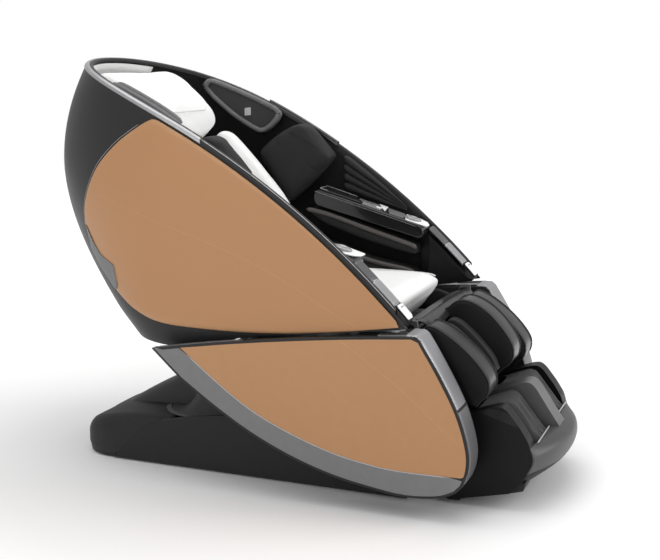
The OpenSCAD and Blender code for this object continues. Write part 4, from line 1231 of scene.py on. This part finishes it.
def puffed(piece, voxel, pressure, cap, body, node=None, slot=None, mat=None):
    # Cloth under pressure fills the pad out, each point moving at most cap
    remesh = addModifier(piece, "REMESH", mode="VOXEL", voxel_size=voxel / 1000, use_smooth_shade=True)
    bpy.context.view_layer.objects.active = piece
    bpy.ops.object.modifier_apply(modifier=remesh.name)
    start = [v.co.copy() for v in piece.data.vertices]
    cloth = addModifier(piece, "CLOTH")
    cloth.settings.quality = puffing["quality"]
    cloth.settings.mass = puffing["mass"]
    cloth.settings.use_pressure = True
    cloth.settings.uniform_pressure_force = pressure
    cloth.settings.tension_stiffness = puffing["stiffness"]
    cloth.settings.compression_stiffness = puffing["stiffness"]
    cloth.settings.bending_stiffness = puffing["bending"]
    cloth.settings.effector_weights.gravity = 0
    cloth.collision_settings.use_collision = False
    cloth.point_cache.frame_start = 1
    cloth.point_cache.frame_end = puffing["frames"]
    for step in range(1, puffing["frames"] + 1):
        bpy.context.scene.frame_set(step)
    shaped = piece.evaluated_get(bpy.context.evaluated_depsgraph_get())
    after = [v.co.copy() for v in shaped.data.vertices]
    piece.modifiers.remove(cloth)
    bpy.context.scene.frame_set(1)
    for vertex, old, new in zip(piece.data.vertices, start, after):
        move = new - old
        reach = move.length
        if reach > cap / 1000:
            move *= cap / 1000 / reach
        vertex.co = old + move
    addModifier(piece, "CORRECTIVE_SMOOTH", iterations=4, use_only_smooth=True)
    for mod in list(piece.modifiers):
        bpy.ops.object.modifier_apply(modifier=mod.name)
    addModifier(piece, "SUBSURF", levels=1, render_levels=1)
    for polygon in piece.data.polygons:
        polygon.use_smooth = True
    cover(piece, body, *([node] if node else []), slot=slot, material=mats[mat])
    return piece


bag = {"outline": ([(150, 952), (176, 948), (235, 915), (290, 870), (294, 850)],
                   [(286, 826), (215, 714), (196, 708), (178, 720)], [(62, 838), (54, 852), (62, 868), (132, 944)]),
       "seams": [[(90, 880), (190, 930)], [(96, 812), (232, 898)], [(196, 722), (272, 846)]]}


def buildShoulderBags():
    outline = spline(bag["outline"][0], 4) + spline(bag["outline"][1], 4) + spline(bag["outline"][2], 4)
    pads = [slabPiece("shoulderBag" + str(side + 1), outline, -342, -267, 15, 1, 5, place=sideFlip(side))
            for side in (-1, 1)]
    puffed(joinPieces("shoulderBags", pads), 5, 2.5, 6, "back", "shoulder_airbags", "airbag_fabric", "bagFabric")
    for label, side in (("Right", -1), ("Left", 1)):
        for i, run in enumerate(bag["seams"]):
            points = [(side * 262.4, y, z) for y, z in resample(run, 12)]
            cover(cordPiece("bagSeam" + label + str(i), points, 1.1, 6), "back", slot="airbag_fabric",
                  material=mats["darkSeamAndFoldShade"])


buildShoulderBags()

console = {"slope": 0.2818, "height": 727, "inner": 262, "outer": 346}


def consoleZ(y):
    return console["height"] + console["slope"] * y


def buildRibs():
    # Padded ribs fan out between each console and the rim, and close up towards the front
    ribs = []
    for side in (-1, 1):
        for k in range(4):
            share = 0.14 + 0.27 * k
            rows = []
            for i in range(40):
                y = 36 - 232 * i / 39
                low, high = consoleZ(y) + 10, rimZ(y, 17)
                if high - low < 10:
                    break
                z = low + (high - low) * share
                fat = 0.145 * (high - low) * min(1, math.sqrt(0.05 + i / 3))
                proud = 15 * min(1, fat / 12)
                rows.append([(side * (347 - proud * max(0, math.sin(a)) ** 0.8), y, z + fat * math.cos(a))
                             for a in (math.pi * j / 12 for j in range(13))])
            ribs.append(sheetPiece("rib" + str(side + 1) + str(k), rows))
    joined = joinPieces("ribPads", ribs)
    thicken(joined, 1, -1)
    cover(joined, "back", "rib_pads", slot="airbag_fabric", material=mats["bagFabric"])


buildRibs()

armBags = {"upper": ([(132, 694), (60, 682), (-80, 640), (-210, 602), (-228, 590)],
                     [(-231, 578), (-215, 566), (-80, 598), (60, 642), (120, 674)]),
           "lower": ([(100, 590), (60, 590), (-80, 545), (-200, 524), (-229, 508)],
                     [(-231, 488), (-215, 474), (-100, 478), (40, 510), (90, 560)])}


def buildArmBags():
    pads = []
    for side in (-1, 1):
        for key in ("upper", "lower"):
            top, low = armBags[key]
            outline = spline(top, 5) + spline(low, 5)
            outline = resample(outline + [outline[0]], 60)[:-1]
            pads.append(slabPiece("armBag" + key + str(side + 1), outline, -343, -270, 13, 3, 5,
                                  place=sideFlip(side)))
            # Lighter upper edge: a painted highlight where the bag's top faces the light
            run = [(side * 270, y, z - 5) for y, z in resample(spline(top, 5), 40)]
            cover(cordPiece("armBagTop" + key.title() + ("Right" if side < 0 else "Left"), run, 6.5, 12, flat=1.1),
                  "back", slot="airbag_fabric", material=mats["bagTopHighlight"])
    puffed(joinPieces("armBags", pads), 5, 2, 4, "back", "arm_airbags", "airbag_fabric", "bagFabric")


buildArmBags()


def buildHipBags():
    ring = roundCorners([(-330, 410), (60, 410), (68, 438), (40, 459), (-300, 465), (-338, 452), (-343, 427)], 10, 4)
    pads = [slabPiece("hipBag" + str(side + 1), ring, -291, -271, 7, 1, 4, place=sideFlip(side)) for side in (-1, 1)]
    joined = joinPieces("hipBags", pads)
    cover(joined, "seat", "hip_airbags", slot="airbag_fabric", material=mats["bagFabric"])


buildHipBags()

arm = {"fromY": -258, "toY": -384, "inner": 298, "outer": 356, "seamY": -308}


def buildArmFront(name, side):
    top = [(y, rimZ(y, 19)) for y in (arm["fromY"] + (arm["toY"] - arm["fromY"]) * i / 10 for i in range(11))]
    outline = top + [(-400, 502), (-398, 493), (-381, 489), (-320, 478), (-258, 469)]
    front = platePiece(name, outline, -355, -298, 3.5, 4, place=sideFlip(side))
    node = "arm_front_right" if side < 0 else "arm_front_left"
    return cover(front, "back", node, slot="arm_black", material=mats["footBlack"])


def buildArmTrims():
    upper, lower = [], []
    for side in (-1, 1):
        for pieces, y0, y1 in ((upper, -259, arm["seamY"]), (lower, arm["seamY"] - 1.2, -367)):
            rows = []
            for i in range(15):
                y = y0 + (y1 - y0) * i / 14
                edge = 1.0 if i in (0, 14) else 0
                rows.append([(side * (351 - 51 * k / 10), y + 0.6 * edge, rimZ(y, 2.5) + 2.2 * (1 - (k / 5 - 1) ** 4)
                              - edge - (2 if k in (0, 10) else 0)) for k in range(11)])
            strip = sheetPiece("armTrim" + str(side + 1) + str(len(pieces)), rows)
            thicken(strip, 4, -1)
            pieces.append(strip)
    # The rear half takes the darker copy of the silver as painted shade, the front half the silver
    cover(joinPieces("armTrimUpper", upper), "back", "arm_top_trims", slot="arm_silver", material=mats["trimSilverPaintedShade"])
    cover(joinPieces("armTrimLower", lower), "back", slot="arm_silver", material=mats["trimSilver"])


def tipPlace(side, lift):
    # a runs down the slope of the arm tip, b across it
    def place(v):
        y = -368 - v[1] * 0.7
        z = rimZ(max(y, -396), 1) - max(0, -396 - y) * 1.5
        return -side * v[2], y - 0.5 * (v[0] + lift), z + 0.8 * (v[0] + lift)
    return place


def buildTips():
    insets = []
    for label, side in (("Right", -1), ("Left", 1)):
        frameRing = roundCorners([(0, -349), (51, -349), (51, -300), (0, -300)], 12, 5)
        whiteRing = roundCorners([(3.5, -345.5), (47.5, -345.5), (47.5, -303.5), (3.5, -303.5)], 9, 5)
        cover(slabPiece("tipFrame" + label, frameRing, -4, 0.6, 1.2, steps=3, place=tipPlace(side, 0)), "back",
              slot="arm_black", material=mats["footBlack"])
        insets.append(slabPiece("tipInset" + str(side + 1), whiteRing, -1, 1.6, 0.8, 1.2, 3,
                                place=tipPlace(side, 0.3)))
        dash = roundCorners([(12, -334), (14.4, -334), (14.4, -314), (12, -314)], 1, 2)
        cover(slabPiece("tipDash" + label, dash, 2.6, 3.4, 0.3, steps=2, place=tipPlace(side, 0.3)), "back",
              slot="arm_black", material=mats["keyGray"])
    cover(joinPieces("tipInsets", insets), "back", "tip_insets", slot="tip_white", material=mats["tipWhite"])


for label, side in (("Right", -1), ("Left", 1)):
    buildArmFront("armFront" + label, side)
buildArmTrims()
buildTips()


# Consoles: a black tray with a handset, keys and a white pad round the dial
def onConsole(side):
    tilt = math.atan(console["slope"])

    def place(v):
        # v = (height over the top face, x, y)
        return side * v[1], v[2] - math.sin(tilt) * v[0], consoleZ(v[2]) + math.cos(tilt) * v[0]
    return place


consoleParts = {
    "body": [(266, 98), (342, 98), (346, 92), (346, -232), (334, -250), (276, -250), (262, -238), (262, 92)],
    "screen": [(272, 92), (338, 92), (338, -20), (302, -22), (302, -40), (272, -44)],
    "keys": [(306, -26), (336, -24), (336, -86), (300, -96), (274, -104), (274, -50), (306, -44)],
    "speckled": [(338, -114), (338, -170), (272, -184), (272, -140)],
    "pad": [(338, -174), (338, -222), (326, -246), (298, -260), (268, -260), (266, -192)]}


def consolePlate(name, key, side, low, high, radius, roundness, mat, slot="console_black"):
    ring = roundCorners(consoleParts[key], radius, 4)
    piece = slabPiece(name, ring, low, high, roundness, steps=3, place=onConsole(side))
    return cover(piece, "back", slot=slot, material=mats[mat])


def buildConsole(label, side):
    tray = [(92, consoleZ(92) - 1), (-236, consoleZ(-236) - 1), (-247, 650), (-252, 636), (-246, 622),
            (-236, consoleZ(-236) - 42), (92, consoleZ(92) - 50), (101, 712), (105, 728), (101, 744)]
    body = platePiece("console" + label, tray, -345, -262, 5, 4, place=sideFlip(side))
    node = "console_right" if side < 0 else "console_left"
    cover(body, "back", node, slot="console_black", material=mats["glossBlack"])
    edge = [(y, z) for y, z in spline([(101, 700), (60, 694), (-120, 643), (-232, 611)], 6)]
    cover(cordPiece("consoleSeam" + label, [(side * 261.6, y, consoleZ(y) - 8) for y, z in edge], 0.7, 6), "back",
          slot="console_black", material=mats["keyGray"])
    consolePlate("consoleScreen" + label, "screen", side, -1, 4.5, 9, 1.6, "glossBlack")
    consolePlate("consoleKeys" + label, "keys", side, -1, 1.6, 3, 0.6, "keyGray")
    consolePlate("consoleSpeckle" + label, "speckled", side, -1, 1.4, 3, 0.5, "speckleGray")
    consolePlate("consolePad" + label, "pad", side, -1, 2.4, 7, 1.4, "tipWhite", "tip_white")
    place = onConsole(side)
    # A light bead on the screen's bevel: a painted highlight
    bevel = [place((4.6, x, y)) for x, y in ((274, 62), (274, 82), (279, 89), (331, 89), (336, 84), (336, -14))]
    cover(cordPiece("consoleBevelHighlight" + label, spline(bevel, 5), 0.9, 6), "back", slot="console_black",
          material=mats["edgeHighlightAndChip"])
    for row in range(3):
        for col in range(2):
            ring = [(322 + 11 * col - 8 + 4 * math.cos(a), -36 - 16 * row + 4 * math.sin(a))
                    for a in (2 * math.pi * i / 16 for i in range(16))]
            cover(slabPiece("consoleKey" + label + str(row) + str(col), ring, 1, 2.6, 0.6, steps=2, place=place),
                  "back", slot="console_black", material=mats["podGray"])


def buildDial(label, side):
    # Knurled dial that turns on the console, in a raised collar
    place = onConsole(side)
    collar = [(300 + 25 * math.cos(a), -205 + 25 * math.sin(a)) for a in (2 * math.pi * i / 40 for i in range(40))]
    cover(cordPiece("dialCollar" + label, [place((3, x, y)) for x, y in collar], 1.8, 8, closed=True), "back",
          slot="dial_silver", material=mats["keyGray"])
    rows = []
    for radius, height, knurl in ((19.2, -7, 0), (19.2, 2, 0.5), (18.8, 6.5, 0.5), (17.6, 8, 0), (13, 8.4, 0),
                                  (12, 7.2, 0), (6, 6.8, 0), (0.2, 6.6, 0)):
        rows.append([place((height, 300 + (radius + knurl * math.cos(18 * a)) * math.cos(a),
                            -205 + (radius + knurl * math.cos(18 * a)) * math.sin(a)))
                     for a in (2 * math.pi * i / 108 for i in range(108))])
    knob = sheetPiece("dial" + label, rows, wrapCols=True)
    side_ = "right" if side < 0 else "left"
    cover(knob, "dial_" + side_, "dial_" + side_, slot="dial_silver", material=mats["rimSilver"])
    # White start key, a long triangle
    ring = roundCorners([(338, -84), (338, -114), (267, -126)], 3, 4)
    key = slabPiece("startKey" + label, ring, 2.2, 4.4, 0.8, steps=3, place=place)
    stem = [(300 + 9.6 * math.cos(a), -97 + 9.6 * math.sin(a)) for a in (2 * math.pi * i / 24 for i in range(24))]
    post = slabPiece("startPost" + label, stem, -4, 2.4, 0.6, steps=2, place=place)
    cover(joinPieces("startKey" + label, [key, post]), "key_" + side_, "start_key_" + side_, slot="key_white",
          material=mats["tipWhite"])


for label, side in (("Right", -1), ("Left", 1)):
    buildConsole(label, side)
    buildDial(label, side)
print("side fittings ready")


# Cushions
seat = {"halfWidth": 246, "low": [(-388, 500), (-350, 472), (-304, 418), (-290, 404), (36, 404)],
        "high": [(74, 432), (80, 478), (58, 514), (0, 520), (-200, 520), (-340, 519), (-376, 514)]}


def buildSeatCushion():
    outline = roundCorners(seat["low"] + seat["high"], 10, 3)
    outline = resample(outline + [outline[0]], 64)[:-1]
    def bow(v):
        # The front edge bows out in the middle, and only points near it move
        near = max(0, min(1, (60 - v[1]) / 440))
        return v[0], v[1] + 74 * near * (abs(v[0]) / seat["halfWidth"]) ** 2.2, v[2]
    pad = slabPiece("seatCushion", outline, -seat["halfWidth"] + 3, seat["halfWidth"] - 3, 22, 1, 6, place=bow)
    puffed(pad, 6, 3.5, 9, "seat", "seat_cushion", "seat_leather", "leatherWhite")
    # Cross seams and two lengthwise channels
    for i, y in enumerate((-232, -70)):
        run = [(x, y + 0.00022 * (x * x) * (-1 if i == 0 else 1), 526.5 - 0.00006 * x * x)
               for x in (-225 + 450 * k / 24 for k in range(25))]
        cover(cordPiece("seatSeam" + str(i), run, 1.6, 8), "seat", slot="seat_leather", material=mats["seamLight"])
    for label, x in (("Right", -120), ("Left", 120)):
        run = [(x, -232 + 160 * k / 14, 526) for k in range(15)]
        cover(cordPiece("seatChannel" + label, run, 1.5, 8), "seat", slot="seat_leather", material=mats["seamLight"])
    for label, x in (("Right", -236), ("Left", 236)):
        run = [(x, y, z) for y, z in spline([(-300, 512), (-270, 518), (-150, 520), (20, 517), (64, 504)], 8)]
        cover(cordPiece("seatPiping" + label, run, 2.4, 8), "seat", slot="seat_leather",
              material=mats["leatherWhite"])


def buildBackPad():
    outline = [onBack(s, u) for s, u in ((4, -4), (4, -62), (496, -62), (496, -4), (470, 6), (250, 12), (30, 6))]
    outline = roundCorners(outline, 14, 4)
    outline = resample(outline + [outline[0]], 72)[:-1]
    pads = [slabPiece("backPad", outline, -176, 176, 18, 1, 5)]
    # Side bolsters stand further forward
    for side in (-1, 1):
        roll = [onBack(s, u) for s, u in ((12, -50), (496, -50), (498, 30), (470, 48), (360, 51), (230, 49),
                                         (160, 39),
                                         (105, 10), (16, 4))]
        roll = roundCorners(roll, 20, 5)
        roll = resample(roll + [roll[0]], 72)[:-1]
        pads.append(slabPiece("backBolster" + str(side + 1), roll, -232, -170, 20, 1, 6, place=sideFlip(side)))
    puffed(joinPieces("backCushion", pads), 6, 3, 8, "back", "back_cushion", "back_leather", "leatherWhite")
    for i, s in enumerate((120, 245, 370)):
        run = []
        for k in range(25):
            x = -160 + 320 * k / 24
            y, z = onBack(s + 0.0006 * x * x, 17 - 0.0002 * x * x)
            run.append((x, y, z))
        cover(cordPiece("backSeam" + str(i), run, 1.8, 8), "back", slot="back_leather", material=mats["seamLight"])
    for label, x in (("Right", -172), ("Left", 172)):
        run = [(x, *onBack(20 + 460 * k / 30, 16 + 6 * math.sin(math.pi * k / 30))) for k in range(31)]
        cover(cordPiece("backPiping" + label, run, 3, 8), "back", slot="back_leather", material=mats["leatherWhite"])


def buildPillow():
    outline = [onBack(s, u) for s, u in ((512, -52), (712, -52), (744, -34), (762, -10), (757, 9), (728, 30),
                                         (684, 45), (600, 55), (548, 53), (516, 36))]
    outline = roundCorners(outline, 18, 4)
    outline = resample(outline + [outline[0]], 80)[:-1]
    pad = slabPiece("headPillow", outline, -200, 200, 26, 3, 7)
    puffed(pad, 6, 4, 10, "back", "head_pillow", "back_leather", "leatherWhite")
    # Stitched frame on the face, and a dark bead in each end as painted shade in its deep fold
    frameRun = []
    for s, x in ((556, -140), (556, 140), (690, 140), (690, -140)):
        frameRun.append((x, s))
    ring = roundCorners(frameRun, 26, 5)
    points = [(x, *onBack(s, 61 - 0.0016 * (s - 590) ** 2 * (1 if s > 590 else 0.5) - 0.0001 * x * x))
              for x, s in ring]
    cover(cordPiece("pillowStitch", points, 1.7, 8, closed=True), "back", slot="back_leather",
          material=mats["seamLight"])
    for label, x in (("Right", -209), ("Left", 209)):
        run = [(x, *onBack(s, u)) for s, u in spline([(530, -18), (580, -6), (650, -8), (716, -22)], 8)]
        cover(cordPiece("pillowFoldShade" + label, run, 2.6, 8, flat=1.2), "back", slot="back_leather",
              material=mats["darkSeamAndFoldShade"])


buildSeatCushion()
buildBackPad()
buildPillow()
print("cushions ready")


# White inner back panel behind the pillow, up to the rim
def buildHeadLining():
    rows = []
    for i in range(22):
        g = -0.44 + 0.60 * i / 21
        high = meetZ(g, -22, lambda y: rimZ(y, 16))
        row = []
        for k in range(14):
            z = high - 250 * k / 13
            x, y, _ = girthPoint(g, z, -22)
            row.append((x, y - 3 * math.sin(math.pi * i / 21), z))
        rows.append(row)
    lining = sheetPiece("headLining", rows)
    thicken(lining, 4, -1)
    cover(lining, "back", slot="back_leather", material=mats["leatherWhite"])


buildHeadLining()
print("head lining ready")


# Finishes for the CAD parts that keep their own shape
finishes = {
    "base_frame": "steelPaint", "seat_frame": "steelPaint", "back_frame": "steelPaint", "base_feet": "rubberBlack",
    "control_box": "baseCharcoal", "air_pump": "motorPaint", "power_switch": "switchRed",
    "transport_wheels": "rubberBlack", "tilt_motor": "motorPaint", "recline_motor": "motorPaint",
    "leg_motor": "motorPaint", "tilt_rod": "steelGround", "recline_rod": "steelGround", "leg_rod": "steelGround",
    "massage_carriage": "steelPaint", "knead_shaft": "steelGround", "massage_roller_right": "amber",
    "massage_roller_left": "amber", "leg_frame": "footBlack", "foot_rollers": "rollerGray"}
for nodeName, key in finishes.items():
    part = nodes[nodeName]
    part = part if isinstance(part, bpy.types.Object) else bpy.data.objects[nodeName]
    part.data.materials.clear()
    part.data.materials.append(mats[key])
    bevelEdges(part, 0.8, 2, 40)
print("frame finishes ready")


# Floor, light and camera
studio = {"floorSize": 14, "floorColor": (0.93, 0.93, 0.93), "worldColor": (1, 1, 1), "worldStrength": 0.6,
          "paintedFloorGlow": 0.5}


def buildStudio():
    bpy.ops.mesh.primitive_plane_add(size=studio["floorSize"])
    floor = bpy.context.object
    floor.name = "floor"
    mat = bpy.data.materials.new("paperFloor")
    mat.use_nodes = True
    shader = mat.node_tree.nodes["Principled BSDF"]
    shader.inputs["Base Color"].default_value = (*studio["floorColor"], 1)
    shader.inputs["Roughness"].default_value = 0.9
    shader.inputs["Specular IOR Level"].default_value = 0.2
    # Painted light: the paper glows more away from the chair, standing in for a lit sweep
    tree = mat.node_tree
    place = tree.nodes.new("ShaderNodeTexCoord")
    reach = tree.nodes.new("ShaderNodeVectorMath")
    reach.operation = "LENGTH"
    glow = tree.nodes.new("ShaderNodeMapRange")
    for key, value in (("From Min", 0.9), ("From Max", 3.2), ("To Min", 0.0), ("To Max", studio["paintedFloorGlow"])):
        glow.inputs[key].default_value = value
    tree.links.new(place.outputs["Object"], reach.inputs[0])
    tree.links.new(reach.outputs["Value"], glow.inputs["Value"])
    shader.inputs["Emission Color"].default_value = (1, 1, 1, 1)
    tree.links.new(glow.outputs[0], shader.inputs["Emission Strength"])
    floor.data.materials.append(mat)
    world = bpy.data.worlds.new("studioAir")
    bpy.context.scene.world = world
    world.use_nodes = True
    air = world.node_tree.nodes["Background"]
    air.inputs["Color"].default_value = (*studio["worldColor"], 1)
    # The backdrop stays white while the air itself lights the chair less
    seen = world.node_tree.nodes.new("ShaderNodeLightPath")
    level = world.node_tree.nodes.new("ShaderNodeMapRange")
    level.inputs["To Min"].default_value = studio["worldStrength"]
    level.inputs["To Max"].default_value = 1
    world.node_tree.links.new(seen.outputs["Is Camera Ray"], level.inputs["Value"])
    world.node_tree.links.new(level.outputs[0], air.inputs["Strength"])


def softBox(name, place, aim, size, watts):
    lamp = bpy.data.lights.new(name, "AREA")
    lamp.shape = "RECTANGLE"
    lamp.size, lamp.size_y = size
    lamp.energy = watts
    box = bpy.data.objects.new(name, lamp)
    box.location = place
    box.rotation_euler = (Vector(aim) - Vector(place)).to_track_quat("-Z", "Y").to_euler()
    bpy.context.scene.collection.objects.link(box)


view = {"azimuth": -68.379, "elevation": 10.853, "target": (0, -0.054, 0.5244), "distance": 3.368, "lens": 63.753}


def placeCamera():
    a, e = math.radians(view["azimuth"]), math.radians(view["elevation"])
    back = Vector((math.sin(a) * math.cos(e), -math.cos(a) * math.cos(e), math.sin(e)))
    cam = bpy.data.cameras.new("camera")
    cam.lens = view["lens"]
    cam.sensor_width = 36
    eye = bpy.data.objects.new("camera", cam)
    eye.location = Vector(view["target"]) + back * view["distance"]
    eye.rotation_euler = (-back).to_track_quat("-Z", "Y").to_euler()
    bpy.context.scene.collection.objects.link(eye)
    bpy.context.scene.camera = eye


buildStudio()
softBox("overhead", (0.2, 0.1, 3.4), (0, 0, 0.5), (3.2, 3.2), 60)
softBox("frontFill", (0.9, -3.2, 1.7), (0, -0.3, 0.5), (1.6, 2.2), 45)
softBox("nearFill", (-3.4, 0.6, 1.6), (0, 0, 0.5), (2.0, 1.6), 18)
placeCamera()
bpy.context.scene.view_settings.view_transform = "Standard"
print("studio ready")
